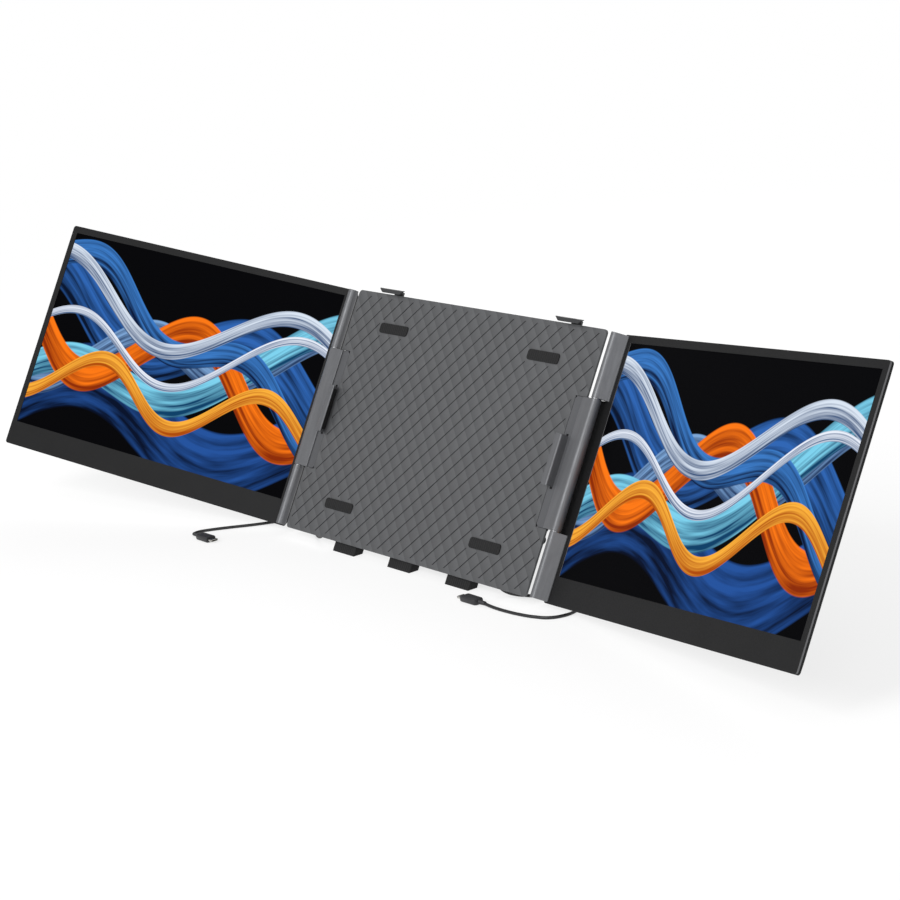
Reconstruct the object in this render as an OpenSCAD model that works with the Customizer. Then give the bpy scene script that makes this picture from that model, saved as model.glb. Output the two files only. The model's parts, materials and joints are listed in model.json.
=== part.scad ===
// Clip-on screen extender: two side screens hinged to a centre unit that holds on to a lid.
// Lengths are millimetres. Each piece is drawn upright and facing -Y, then leaned back as a whole.
// The origin is on the desk, in the middle of the centre unit's middle foot.

/* [Pose at rest] */
// Angle that the whole unit leans back from upright
lean = 29.5; // [20:0.5:36]
// Forward swing of the left screen out of the centre unit's plane
angle_left = 17.1; // [0:0.1:40]
// Forward swing of the right screen out of the centre unit's plane
angle_right = 10.8; // [0:0.1:40]

/* [Screens] */
// Width of the picture area
view_w = 382; // [300:1:400]
// Height of the picture area
view_h = 215; // [185:1:240]
// Bezel beside the picture on the hinge side
bezel_hinge = 12.8; // [11:0.1:20]
// Bezel beside the picture on the outer side
bezel_side = 7.1; // [6:0.1:15]
// Bezel above the picture
bezel_top = 7.3; // [6:0.1:15]
// Bezel below the picture
bezel_chin = 25.4; // [24:0.1:35]
// Radius of a screen's corners
screen_corner = 3; // [1:0.5:6]
// Thickness of the bezel moulding
bezel_t = 1.6; // [1.2:0.1:2.4]
// Depth of the glass below the bezel's face
glass_recess = 0.6; // [0.2:0.1:1]
// Thickness of the front glass
glass_t = 1.2; // [0.7:0.1:1.5]
// Thickness of the picture module behind the glass
lcd_t = 3.2; // [2:0.1:3.6]
// Height of the straight side wall round a screen
edge_t = 3.7; // [3:0.1:5]
// Full thickness of a screen
screen_t = 9.5; // [9:0.1:13]
// How far the rear cover slopes inwards
rear_slope = 8; // [4:0.5:9]
// How far it slopes inwards on its hinge side
hinge_slope = 1; // [0.5:0.1:3]
// Wall of the screens' rear covers
cover_wall = 1.6; // [1.2:0.1:2]
// Distance of the outer chin screws from a screen's ends
chin_screw_inset = 20; // [16:0.5:40]
// Height of the chin screws above a screen's lower edge
chin_screw_z = 14; // [12:0.5:16]

/* [Hinges] */
// Gap from the centre plate's edge to the hinge axis
hinge_gap = 12.2; // [9:0.1:20]
// Radius of the hinge barrels
barrel_r = 5; // [4:0.1:6]
// Radius of the hinge pins
pin_r = 2; // [1:0.1:2.5]
// Depth of the hinge axis behind the centre plate's front
axis_depth = 1.1; // [0:0.1:3]
// Depth of a screen's face behind the hinge axis
face_setback = 7.8; // [7:0.1:12]
// Distance from the hinge axis to a screen's inner edge
screen_gap = 2.5; // [1:0.1:4]
// Distance from the hinge axis to the end of a knuckle's foot
foot_reach = 9.8; // [9:0.1:13]
// Thickness of that foot at its end
foot_lip = 0.8; // [0.4:0.1:1.5]
// Length of each screen knuckle
knuckle_len = 60.7; // [55:0.1:80]
// Distance from a screen's end to its knuckle
knuckle_inset = 1.3; // [0.5:0.1:5]
// Reach of the bezel's lip behind the hinge cover
guard_w = 7.8; // [1:0.1:8.5]
// Thickness of the friction washers
washer_t = 0.8; // [0.4:0.1:2]
// Closed end of a knuckle beyond the pin
knuckle_cap = 4; // [2:0.5:8]

/* [Centre plate] */
// Width of the centre plate
plate_w = 388; // [350:1:430]
// Height of the centre plate
plate_h = 248; // [230:1:270]
// Thickness of the centre plate
plate_t = 2; // [1.6:0.1:3]
// Radius of the centre plate's corners
plate_corner = 4; // [2:0.5:10]
// Plain rim round the centre plate
rim_w = 4.4; // [3:0.1:10]
// Spacing of the slanting grooves
groove_pitch = 17.8; // [14:0.1:40]
// Width of the slanting grooves
groove_w = 1.2; // [0.8:0.1:3]
// Depth of the slanting grooves
groove_d = 0.6; // [0.4:0.1:1]
// Size of the soft lid pads
pad_w = 46; // [30:1:70]
// Distance of the lid pads' middles from the plate's sides
pad_side = 76; // [64:1:130]
// Distance of the lid pads from the plate's upper and lower edges
pad_inset = 34; // [20:1:60]
// Thickness of the lid pads
pad_t = 0.8; // [0.5:0.1:1.5]

/* [Rear housing] */
// Distance of the housing's sides from the plate's edges
housing_inset = 22; // [20:0.5:26]
// Distance of the housing's top from the plate's top
housing_drop = 12; // [8:1:30]
// Depth of the housing behind the plate's front
housing_d = 13; // [12.5:0.1:18]
// Wall of the rear housing
housing_wall = 2; // [1.5:0.1:2.4]
// Slope of the housing's edges
housing_slope = 6; // [2:0.5:7.5]
// Height of the cable sockets' wall above the plate's lower edge
socket_z = 40; // [36:1:46]
// Distance of the cable sockets from the plate's sides
socket_inset = 54; // [48:1:58]
// Distance of the sides of the housing's lower part from the plate's sides
lower_inset = 70; // [68:1:84]
// Height of the housing's lower edge above the plate's
lower_z = 3; // [1:0.5:8]

/* [Sliders] */
// Travel of each slider outwards
slider_travel = 30; // [10:1:34]
// Thickness of the tongue
tongue_t = 2.6; // [2:0.1:3]
// Radius of the guide rods
rod_r = 1.5; // [1:0.1:2]
// Distance of the guide rods from the slider's ends
rod_inset = 21; // [16:0.5:40]
// Length of the bearing blocks on the rods
bearing_len = 18; // [10:1:22]

/* [Side hooks] */
// Height of the side hooks
hook_h = 47.6; // [30:0.1:70]
// Room between a hook's lip and the plate
throat = 6.2; // [6:0.1:9]
// Thickness of the hook's lip
lip_t = 1.6; // [1.2:0.1:3]
// Distance from the plate's edge to a hook's outer face
hook_inset = 9; // [8:0.1:14]
// Thickness of the hook's wall
hook_wall = 3; // [2:0.1:3.4]
// Reach of the lip from the hook's outer face
lip_reach = 8.5; // [7:0.1:12]
// Thickness of the hook's rubber pad
hook_pad_t = 2.5; // [1:0.1:3]

/* [Top clips] */
// Distance of the clips' arms from the housing's sides
clip_inset = 26.2; // [19:0.1:60]
// Shift of both clips to the right
clip_shift = 7.4; // [0:0.1:10]
// Width of a clip's top edge
clip_w = 41; // [30:0.5:46]
// Width of a clip's lower edge
clip_low_w = 29; // [26:0.5:29.5]
// Height of a clip's front lip
clip_lip_h = 4.4; // [3:0.1:8]
// Thickness of a clip
clip_t = 1.8; // [1.2:0.1:2]
// Gap between the plate's top and a clip's web
clip_gap = 2.4; // [0.5:0.1:6]
// Width of a clip's arm
clip_arm_w = 14; // [10:1:20]
// Length of a clip's arm that stays in the housing when the clip is up
clip_hold = 20; // [14:1:26]
// Travel of a clip upwards
clip_travel = 18; // [5:1:20]

/* [Kickstand] */
// Height of the kickstand's pin above the plate's lower edge
stand_z = 128; // [110:1:140]
// Distance of that pin behind the housing's back
stand_out = 4.6; // [4.6:0.1:10]
// Slope of the leg from upright
leg_slope = 25.2; // [18:0.1:29]
// Width of the leg
leg_w = 110; // [80:1:130]
// Thickness of the leg
leg_t = 3; // [2:0.1:4]
// Radius of the leg's rubber foot
leg_foot_r = 4; // [3:0.1:5]
// Radius of the kickstand's barrels
stand_barrel_r = 4.2; // [3.5:0.1:4.5]
// Radius of the kickstand's pin
stand_pin_r = 1.6; // [1:0.1:2]
// Width of each ear that holds the kickstand's pin
ear_w = 8; // [5:1:12]

/* [Feet and cables] */
// Width of the rubber feet
foot_w = 36; // [20:1:60]
// Distance of the outer feet from the middle
foot_x = 92; // [60:1:100]
// Diameter of the cables
cable_d = 3; // [2.5:0.1:3.2]
// Room between a cable on the desk and the screens' lower edges
cable_room = 0.6; // [0.5:0.1:3]
// Width of a cable plug
plug_w = 11; // [10:0.1:12]
// Thickness of a cable plug
plug_t = 6; // [5.4:0.1:6.4]
// Length of a cable plug's moulding
plug_len = 22; // [18:0.5:23]

/* [Hidden] */
$fn = 64;
// Clearance of a pin or rod in its bore, on the radius
fit = 0.05;
// Clearance between pieces that slide past or seat in each other
slip = 0.3;
// Overrun of a cut past the face that it opens
over = 1;

// Screen sizes
screen_w = bezel_hinge + view_w + bezel_side;
screen_h = bezel_chin + view_h + bezel_top;
view_x = screen_gap + bezel_hinge;
cover_y = face_setback + bezel_t;
rear_y = face_setback + screen_t;
inner_y = rear_y - cover_wall;
glass_y = face_setback + glass_recess;
glass_margin = 1.3;
lcd_y = glass_y + glass_t;
lcd_margin = 2;
lcd_back = lcd_y + lcd_t;

// Hinge heights
seam_gap = washer_t + 0.2;
hinge_x = plate_w / 2 + hinge_gap;
lower_knuckle_z = knuckle_inset;
upper_knuckle_z = screen_h - knuckle_inset - knuckle_len;
cover_z = lower_knuckle_z + knuckle_len + seam_gap;
cover_h = upper_knuckle_z - seam_gap - cover_z;
pin_z = knuckle_inset + knuckle_cap;
pin_len = screen_h - 2 * pin_z;

// Where the unit stands: the plate's lower front edge is this high above the desk
rise = (axis_depth + face_setback + edge_t) * sin(lean) + cable_d + cable_room;
foot_front = plate_t + 1;
foot_back = housing_d - 0.5;
foot_mid = (foot_front + foot_back) / 2;
base_y = (foot_mid - rise * sin(lean)) / cos(lean);

// Slider places, measured from the middle of the unit
slide_z = cover_z;
slide_h = cover_h;
pad_x = plate_w / 2 - pad_side;
hook_x = plate_w / 2 - hook_inset;
cover_x = plate_w / 2 - 3.8;
block_x = hook_x - hook_wall - 3;
window_x = block_x - 0.4;
block_d = 6;
hook_z = slide_z + (slide_h - hook_h) / 2;
slot_room = 1.7;
slot_d = 3;
rod_block_len = 4;
rod_block_h = 7;
rod_end = plate_w / 2 - housing_inset - housing_slope;
stroke_spare = 8;
tongue_x = rod_end - rod_block_len - stroke_spare - slider_travel - bearing_len;
tongue_y = plate_t + slip;
tongue_z = slide_z + 9;
tongue_h = slide_h - 18;
rod_y = tongue_y + tongue_t + 2.9;
rod_z = [slide_z + rod_inset, slide_z + slide_h - rod_inset];
rod_start = tongue_x - stroke_spare;

// Rear housing
housing_half = plate_w / 2 - housing_inset;
housing_top = plate_h - housing_drop;
housing_inner = housing_d - housing_wall;
lower_half = plate_w / 2 - lower_inset;
screw_r = 1.5;
screw_head_r = 2.8;
screw_head_t = 1.4;
boss_r = 3.4;
clip_x = housing_half - clip_inset - clip_arm_w / 2;
clip_guide_h = 29;
clip_guide_half = clip_arm_w / 2 + 3;
screw_inset = 14;
mid_screw_x = 42;
end_screw_x = clip_x - clip_shift - clip_guide_half - boss_r - 0.6;
screw_x = [-end_screw_x, -mid_screw_x, mid_screw_x, end_screw_x];
screw_z = [socket_z + screw_inset, housing_top - screw_inset];
board_z = socket_z + housing_wall + 2;
board_y = plate_t + 2.4;
board_t = 1.6;
board_h = 20;
socket_x = plate_w / 2 - socket_inset;
board_half = socket_x + 9;
chip_w = 14;
chip_t = 1.2;
chip_pitch = board_half * 0.3;

// Cable sockets and plugs
socket_w = 9.2;
socket_t = 3.4;
socket_len = 7.6;
socket_wall = 0.35;
tongue_w = 8.2;
shell_t = 2.35;
shell_len = 6.4;
plug_y = board_y + board_t + socket_t / 2;
strain_len = 9;
// How far a cable's end is moulded into its plug
cable_sink = 0.5;
strain_r = 2.2;

// Kickstand: the leg is as long as sets its round foot on the desk
stand_depth = housing_d + stand_out;
pin_height = rise - stand_depth * sin(lean) + stand_z * cos(lean);
leg_len = (pin_height - leg_foot_r) / cos(leg_slope);
leg_angle = lean + leg_slope;
ear_x = leg_w / 2 - ear_w - 6;
leg_rail = 22;
leg_shoulder = 40;
leg_window = [leg_w - 2 * leg_rail, leg_len - leg_rail - leg_shoulder];

// Rear cover fastenings
chin_screw_x = [for (i = [0:3]) screen_gap + chin_screw_inset
    + i * (screen_w - 2 * chin_screw_inset) / 3];
chin_pitch = (screen_w - 2 * chin_screw_inset) / 3;
chin_boss_r = 2.6;
small_screw_r = 0.9;
small_head_r = 1.9;
small_head_t = 1;
knuckle_screw_x = 6.2;
knuckle_screw_step = 18;
knuckle_plate_t = 1.2;
button_r = 4;
button_stand = 1;
button_flange = 0.6;
button_x = [for (i = [0:1]) chin_screw_x[3] - 13 - 13 * i];
button_z = chin_screw_z + 1;

// Turns a point of the upright unit into its place on the desk
function leaned(p) = [p[0], p[1] * cos(lean) + p[2] * sin(lean) - base_y,
    p[2] * cos(lean) - p[1] * sin(lean) + rise];

// A cable's route from its plug in the housing, in rows of the way outwards, the way backwards,
// the share of the drop to the desk that is left and the share of the rise into the loose plug
function lay(side, rows) = let (start = leaned([socket_x, plug_y, hub_plug_z + cable_sink]),
    low = cable_d / 2, high = plug_t / 2 - 0.4)
    [for (r = rows) [side * (start[0] + r[0]), start[1] + r[1],
        low + r[2] * (start[2] - low) + r[3] * (high - low)]];
hub_plug_z = socket_z - 0.2 - plug_len - strain_len;
left_route = lay(-1, [
    [0, 0, 1, 0], [0.3, -1.3, 0.794, 0], [2, -1.7, 0.563, 0], [6, -1.1, 0.31, 0],
    [12.5, 0.5, 0.111, 0], [21, 3.6, 0.008, 0], [33, 9.1, 0, 0], [48, 15.1, 0, 0],
    [64, 19.1, 0, 0], [80, 20.1, 0, 0], [94, 16.1, 0, 0], [104.5, 7.1, 0, 0], [111, -3.9, 0, 0],
    [118, -14.9, 0, 0], [126, -25.9, 0, 0], [134, -37.4, 0, 0], [141, -48.9, 0, 0],
    [145, -57.9, 0, 0], [144.5, -63.9, 0, 0.09], [141, -67.5, 0, 0.55], [136, -68.5, 0, 1]]);
right_route = lay(1, [
    [0, 0, 1, 0], [0.3, -1.3, 0.794, 0], [2, -1.7, 0.563, 0], [6, -1.1, 0.31, 0],
    [12.5, 0.5, 0.111, 0], [21, 3.6, 0.008, 0], [32, 8.1, 0, 0], [46, 13.6, 0, 0],
    [61, 18.1, 0, 0], [76, 20.1, 0, 0], [90, 17.6, 0, 0], [100, 10.6, 0, 0], [104, 0.6, 0, 0],
    [103.5, -9.9, 0, 0], [97.5, -19.9, 0, 0], [85, -25.9, 0, 0], [68.6, -29.6, 0, 0],
    [50, -31.3, 0, 0], [33, -31.7, 0, 0.27], [20.5, -31.5, 0, 1]]);

// ---------------------------------------------------------------- placing

// Leans the upright unit back and stands it on the desk
module stand_up() {
    translate([0, -base_y, rise]) rotate([-lean, 0, 0]) children();
}

// Draws right-hand geometry on the chosen side
module on_side(side) {
    if (side > 0) children();
    else mirror([1, 0, 0]) children();
}

// The frame of one screen: X runs outwards from the hinge axis and Y points to its back
module on_screen(side) {
    swing = side > 0 ? angle_right : angle_left;
    stand_up() on_side(side) translate([hinge_x, axis_depth, 0]) rotate([0, 0, -swing]) children();
}

module on_slider(side) {
    stand_up() on_side(side) children();
}

// Extrudes an outline drawn in X and Z backwards from y0
module slab(y0, t) {
    translate([0, y0 + t, 0]) rotate([90, 0, 0]) linear_extrude(t) children();
}

// A cylinder along Y from y0 backwards
module rod_y_axis(x, z, y0, len, r) {
    translate([x, y0, z]) rotate([-90, 0, 0]) cylinder(r = r, h = len);
}

// A cylinder along X from x0
module rod_x_axis(x0, y, z, len, r) {
    translate([x0, y, z]) rotate([0, 90, 0]) cylinder(r = r, h = len);
}

module box(low, high) {
    translate(low) cube(high - low);
}

// A rectangle from its lower corner with round corners
module round_rect(low, size, r) {
    translate(low + [r, 0]) square(size - [2 * r, 0]);
    translate(low + [0, r]) square(size - [0, 2 * r]);
    for (x = [r, size[0] - r], z = [r, size[1] - r]) translate(low + [x, z]) circle(r);
}

// The point where a line from p meets the barrel, aimed a hair inside it so that the two cross
function touch_point(p, turn) = let (r = barrel_r - 0.05,
    a = atan2(p[1], p[0]) + turn * acos(r / norm(p))) r * [cos(a), sin(a)];

// ---------------------------------------------------------------- centre unit

module plate_outline() {
    difference() {
        round_rect([-plate_w / 2, 0], [plate_w, plate_h], plate_corner);
        for (side = [0, 1]) mirror([side, 0]) translate([window_x, slide_z - 0.4])
            square([plate_w, slide_h + 0.8]);
    }
}

// Grooves at 45 degrees across the plate's front
module grooves() {
    count = ceil((plate_w + plate_h) / groove_pitch);
    for (i = [0:count]) translate([-plate_w / 2 + (i + 0.5) * groove_pitch - plate_h, 0])
        rotate(45) translate([0, -groove_w / 2]) square([plate_h * sqrt(2), groove_w]);
}

// Where the grooves run: clear of the rim, the sliders and the pads
module groove_field() {
    difference() {
        translate([-plate_w / 2 + rim_w, rim_w]) square([plate_w - 2 * rim_w, plate_h - 2 * rim_w]);
        for (side = [0, 1]) mirror([side, 0]) translate([window_x - rim_w, slide_z - rim_w])
            square([plate_w, slide_h + 2 * rim_w]);
        for (x = [-pad_x, pad_x], z = [pad_inset, plate_h - pad_inset])
            round_rect([x - pad_w / 2 - 3, z - 8], [pad_w + 6, 16], 4);
    }
}

module centre_plate() {
    color("dimgray") stand_up() {
        slab(groove_d, plate_t - groove_d) plate_outline();
        slab(0, groove_d) difference() {
            plate_outline();
            intersection() {
                groove_field();
                grooves();
            }
        }
        difference() {
            for (x = screw_x, z = screw_z) rod_y_axis(x, z, plate_t, housing_inner - plate_t, boss_r);
            for (x = screw_x, z = screw_z)
                rod_y_axis(x, z, plate_t + 2, housing_inner, screw_r - fit);
        }
    }
}

module housing_block(half_w, z0, z1, inset, y0, y1) {
    hull() {
        box([-half_w + inset, y0, z0 + inset], [half_w - inset, y1 - housing_slope, z1 - inset]);
        box([-half_w + housing_slope + inset * 0.6, y1 - 0.2, z0 + housing_slope + inset * 0.6],
            [half_w - housing_slope - inset * 0.6, y1, z1 - housing_slope - inset * 0.6]);
    }
}

module rear_housing() {
    color("dimgray") stand_up() difference() {
        union() {
            difference() {
                union() {
                    housing_block(housing_half, socket_z, housing_top, 0, plate_t, housing_d);
                    housing_block(lower_half, lower_z, socket_z + 20, 0, plate_t, housing_d);
                }
                housing_block(housing_half, socket_z, housing_top, housing_wall, plate_t - over,
                    housing_inner);
                housing_block(lower_half, lower_z, socket_z + 20, housing_wall, plate_t - over,
                    housing_inner);
            }
            rod_holders();
            clip_guides();
            for (side = [-1, 1]) translate([side * ear_x, 0, 0]) stand_ear();
            for (x = [-board_half + 12, board_half - 12], z = [board_z + 4, board_z + board_h - 4])
                rod_y_axis(x, z, board_y + board_t, housing_inner - board_y - board_t + 0.5, 2);
            for (side = [-1, 1]) on_side(side) translate([socket_x, 0, 0])
                box([-socket_w / 2 - 2, board_y, socket_z],
                    [socket_w / 2 + 2, plug_y + socket_t / 2 + 1.6, board_z - slip]);
        }
        for (side = [-1, 1]) {
            on_side(side) box([housing_half - housing_wall - 3, plate_t - over, tongue_z - 0.4],
                [housing_half + over, tongue_y + tongue_t + 0.4, tongue_z + tongue_h + 0.4]);
            at_clip(side) box([-clip_arm_w / 2 - 0.4, plate_t - over,
                housing_top - housing_wall - over],
                [clip_arm_w / 2 + 0.4, plate_t + slip + clip_t + 0.4, housing_top + over]);
            on_side(side) translate([socket_x, 0, 0]) box([-socket_w / 2 - 0.3,
                plug_y - socket_t / 2 - 0.3, socket_z - over],
                [socket_w / 2 + 0.3, plug_y + socket_t / 2 + 0.3, socket_z + socket_len + slip]);
            for (z = rod_z) on_side(side) rod_x_axis(rod_start - over, rod_y, z,
                rod_end - rod_start + over + slip, rod_r + fit);
        }
        for (x = screw_x, z = screw_z) {
            rod_y_axis(x, z, housing_inner - over, housing_wall + 2 * over, screw_r + 0.2);
            rod_y_axis(x, z, housing_d - screw_head_t, screw_head_t + over, screw_head_r + 0.2);
        }
        rod_x_axis(-leg_w, stand_depth, stand_z, 2 * leg_w, stand_pin_r + fit);
    }
}

// Blocks inside the housing that hold the ends of the guide rods
module rod_holders() {
    for (side = [-1, 1], z = rod_z, x = [rod_start, rod_end - rod_block_len])
        on_side(side) box([x, tongue_y + tongue_t + slip, z - rod_block_h / 2],
            [x + rod_block_len, housing_inner + 0.5, z + rod_block_h / 2]);
}

module at_clip(side) {
    translate([side * clip_x + clip_shift, 0, 0]) children();
}

// Grooved blocks in which the top clips' arms slide
module clip_guides() {
    guide_z = housing_top - housing_wall - clip_guide_h - 1;
    for (side = [-1, 1]) at_clip(side) difference() {
        box([-clip_guide_half, plate_t + 0.1, guide_z],
            [clip_guide_half, housing_inner + 0.5, guide_z + clip_guide_h]);
        box([-clip_arm_w / 2 - 0.3, plate_t - over, guide_z - over],
            [clip_arm_w / 2 + 0.3, plate_t + slip + clip_t + 0.3, guide_z + clip_guide_h + over]);
    }
}

// An ear that stands on the housing and holds the kickstand's pin
module stand_ear() {
    rod_x_axis(-ear_w / 2, stand_depth, stand_z, ear_w, stand_barrel_r);
    box([-ear_w / 2, housing_inner, stand_z - stand_barrel_r],
        [ear_w / 2, stand_depth, stand_z + stand_barrel_r]);
}

module housing_screws() {
    color("black") stand_up() for (x = screw_x, z = screw_z) {
        rod_y_axis(x, z, plate_t + 3, housing_d - screw_head_t - plate_t - 3, screw_r - 2 * fit);
        difference() {
            rod_y_axis(x, z, housing_d - screw_head_t, screw_head_t - 0.2, screw_head_r);
            rod_y_axis(x, z, housing_d - 1, over, 1.1, $fn = 6);
        }
    }
}

module lid_pads() {
    color("black") stand_up() for (x = [-pad_x, pad_x], z = [pad_inset, plate_h - pad_inset])
        slab(-pad_t, pad_t) round_rect([x - pad_w / 2, z - 5], [pad_w, 10], 3);
}

module base_feet() {
    color("black") intersection() {
        stand_up() for (x = [-foot_x, 0, foot_x]) box([x - foot_w / 2, foot_front, -rise * 2],
            [x + foot_w / 2, foot_back, lower_z]);
        translate([-plate_w, -plate_w, 0]) cube([2 * plate_w, 2 * plate_w, plate_h]);
    }
}

module guide_rods() {
    color("silver") stand_up() for (side = [-1, 1], z = rod_z)
        on_side(side) rod_x_axis(rod_start, rod_y, z, rod_end - rod_start, rod_r);
}

module hub_board() {
    color("darkgreen") stand_up() difference() {
        union() {
            box([-board_half, board_y, board_z], [board_half, board_y + board_t, board_z + board_h]);
            for (i = [-1.5:1.5]) translate([i * chip_pitch, board_y + board_t, board_z])
                box([-chip_w / 2, 0, 3], [chip_w / 2, chip_t, board_h - 3]);
        }
        for (x = screw_x, z = screw_z) rod_y_axis(x, z, board_y - over, board_t + 4, boss_r + 0.5);
    }
}

module cable_sockets() {
    color("silver") stand_up() for (side = [-1, 1]) on_side(side) translate([socket_x, plug_y, socket_z])
        difference() {
            box([-socket_w / 2, -socket_t / 2, 0.2], [socket_w / 2, socket_t / 2, socket_len]);
            box([-socket_w / 2 + socket_wall, -socket_t / 2 + socket_wall, -over],
                [socket_w / 2 - socket_wall, socket_t / 2 - socket_wall, socket_len - 0.8]);
        }
}

// ---------------------------------------------------------------- kickstand

module on_leg() {
    stand_up() translate([0, stand_depth, stand_z]) rotate([leg_angle, 0, 0]) children();
}

module kickstand_pin() {
    color("silver") stand_up() rod_x_axis(-ear_x - ear_w / 2, stand_depth, stand_z,
        2 * ear_x + ear_w, stand_pin_r);
}

module kickstand_leg() {
    barrel_half = ear_x - ear_w / 2 - slip;
    color("gray") on_leg() difference() {
        union() {
            rod_x_axis(-barrel_half, 0, 0, 2 * barrel_half, stand_barrel_r - 0.4);
            box([-barrel_half, -leg_t / 2, -14], [barrel_half, leg_t / 2, 0]);
            slab(-leg_t / 2, leg_t) round_rect([-leg_w / 2, -leg_len], [leg_w, leg_len - 9], 3);
        }
        rod_x_axis(-leg_w, 0, 0, 2 * leg_w, stand_pin_r + fit);
        slab(-leg_t, 2 * leg_t) round_rect([-leg_window[0] / 2, -leg_len + leg_rail], leg_window, 8);
        box([-leg_w, -leg_t, -leg_len - over], [leg_w, leg_t, -leg_len]);
    }
}

module kickstand_foot() {
    color("black") on_leg() difference() {
        rod_x_axis(-leg_w / 2, 0, -leg_len, leg_w, leg_foot_r);
        box([-leg_w, -leg_t / 2, -leg_len], [leg_w, leg_t / 2, 0]);
    }
}

// ---------------------------------------------------------------- top clips

// A clip: its arm runs in the housing, and its lip is rolled over at the top
module top_clip(side) {
    web_z = plate_h + clip_gap;
    top_z = web_z + clip_t;
    arm_low = housing_top - clip_travel - clip_hold;
    front = throat + lip_t;
    color("dimgray") stand_up() at_clip(side) {
        box([-clip_arm_w / 2, plate_t + slip, arm_low],
            [clip_arm_w / 2, plate_t + slip + clip_t, top_z]);
        box([-clip_arm_w / 2, -throat, web_z], [clip_arm_w / 2, plate_t + slip, top_z]);
        intersection() {
            slab(-front, lip_t) polygon([[-clip_low_w / 2, top_z - clip_lip_h],
                [clip_low_w / 2, top_z - clip_lip_h], [clip_w / 2, top_z], [-clip_w / 2, top_z]]);
            translate([-clip_w, 0, 0]) rotate([90, 0, 90]) linear_extrude(2 * clip_w) {
                translate([-front, 0]) square([lip_t, top_z - lip_t]);
                translate([-throat, top_z - lip_t]) circle(lip_t);
            }
        }
    }
}

// ---------------------------------------------------------------- sliders

module slider(side) {
    cut = 2.5;
    flange = 1.6;
    color("dimgray") on_slider(side) difference() {
        union() {
            slab(0, block_d) polygon([[block_x, slide_z + cut], [block_x + cut, slide_z],
                [cover_x - 0.2, slide_z], [cover_x - 0.2, slide_z + slide_h],
                [block_x + cut, slide_z + slide_h], [block_x, slide_z + slide_h - cut]]);
            box([block_x, tongue_y, slide_z - flange],
                [cover_x - 0.2, block_d, slide_z + slide_h + flange]);
            box([tongue_x, tongue_y, tongue_z],
                [block_x + 2, tongue_y + tongue_t, tongue_z + tongue_h]);
            for (z = rod_z) box([tongue_x, tongue_y + tongue_t - 0.1, z - 4],
                [tongue_x + bearing_len, housing_inner - slip, z + 4]);
        }
        for (z = rod_z) rod_x_axis(tongue_x - over, rod_y, z, bearing_len + 2 * over, rod_r + fit);
        box([hook_x - hook_wall - 0.2, -over, hook_z - slot_room],
            [hook_x + 0.2, slot_d, hook_z + hook_h + slot_room]);
    }
}

// The middle cover of a hinge: a barrel on the axis, blended down to the slider
module hinge_cover(side) {
    seam = [cover_x - hinge_x, -axis_depth - 1.1];
    low = [cover_x - hinge_x, block_d - axis_depth];
    color("gray") on_slider(side) translate([hinge_x, axis_depth, slide_z]) difference() {
        union() {
            cylinder(r = barrel_r, h = slide_h);
            linear_extrude(slide_h) polygon([seam, touch_point(seam, 1), [0, 0],
                touch_point(low, -1), low]);
        }
        translate([0, 0, -over]) cylinder(r = pin_r + fit, h = slide_h + 2 * over);
    }
}

module hinge_pin(side) {
    color("silver") on_slider(side) translate([hinge_x, axis_depth, pin_z])
        cylinder(r = pin_r, h = pin_len);
}

module hinge_washers(side) {
    color("silver") on_slider(side) for (z = [slide_z - seam_gap + 0.1, slide_z + slide_h + 0.1])
        translate([hinge_x, axis_depth, z]) difference() {
            cylinder(r = barrel_r - 0.3, h = washer_t);
            translate([0, 0, -over]) cylinder(r = pin_r + fit, h = washer_t + 2 * over);
        }
}

module side_hook(side) {
    front = -throat - lip_t;
    bend = 1.4;
    color("gray") on_slider(side) translate([0, 0, hook_z]) linear_extrude(hook_h) {
        translate([hook_x - hook_wall, front + bend]) square([hook_wall, slot_d - 0.2 - front - bend]);
        translate([hook_x - lip_reach + lip_t / 2, front]) square([lip_reach - lip_t / 2 - bend, lip_t]);
        translate([hook_x - hook_wall, front + 0.2]) square([hook_wall - bend, bend]);
        translate([hook_x - bend, front + bend]) circle(bend);
        translate([hook_x - lip_reach + lip_t / 2, front + lip_t / 2]) circle(lip_t / 2);
    }
}

module hook_pad(side) {
    color("black") on_slider(side) box([hook_x - hook_wall - hook_pad_t, -throat, hook_z + 3],
        [hook_x - hook_wall, -slip, hook_z + hook_h - 3]);
}

// ---------------------------------------------------------------- screens

// A screen's outline, drawn in by one width all round and by another on its hinge side
module screen_outline(inset, hinge_inset) {
    round_rect([screen_gap + hinge_inset, inset],
        [screen_w - inset - hinge_inset, screen_h - 2 * inset], screen_corner);
}

function knuckle_screw_z() = [for (z = [lower_knuckle_z, upper_knuckle_z], k = [-1, 1])
    z + knuckle_len / 2 + k * knuckle_screw_step];

module bezel(side) {
    color("#2b2b2c") on_screen(side) {
        difference() {
            slab(face_setback, bezel_t) {
                screen_outline(0, 0);
                translate([screen_gap - guard_w, cover_z + slip])
                    square([guard_w + 1, cover_h - 2 * slip]);
            }
            slab(face_setback - over, screen_t) translate([view_x, bezel_chin])
                square([view_w, view_h]);
            slab(glass_y, screen_t) translate([view_x - glass_margin - 0.1,
                bezel_chin - glass_margin - 0.1])
                square([view_w + 2 * glass_margin + 0.2, view_h + 2 * glass_margin + 0.2]);
            for (z = knuckle_screw_z())
                rod_y_axis(knuckle_screw_x, z, face_setback - over, bezel_t + 2 * over,
                    small_screw_r + 0.2);
        }
        difference() {
            for (x = chin_screw_x) rod_y_axis(x, chin_screw_z, cover_y, 3, chin_boss_r);
            for (x = chin_screw_x)
                rod_y_axis(x, chin_screw_z, cover_y + 0.5, 3, small_screw_r + fit);
        }
    }
}

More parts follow.
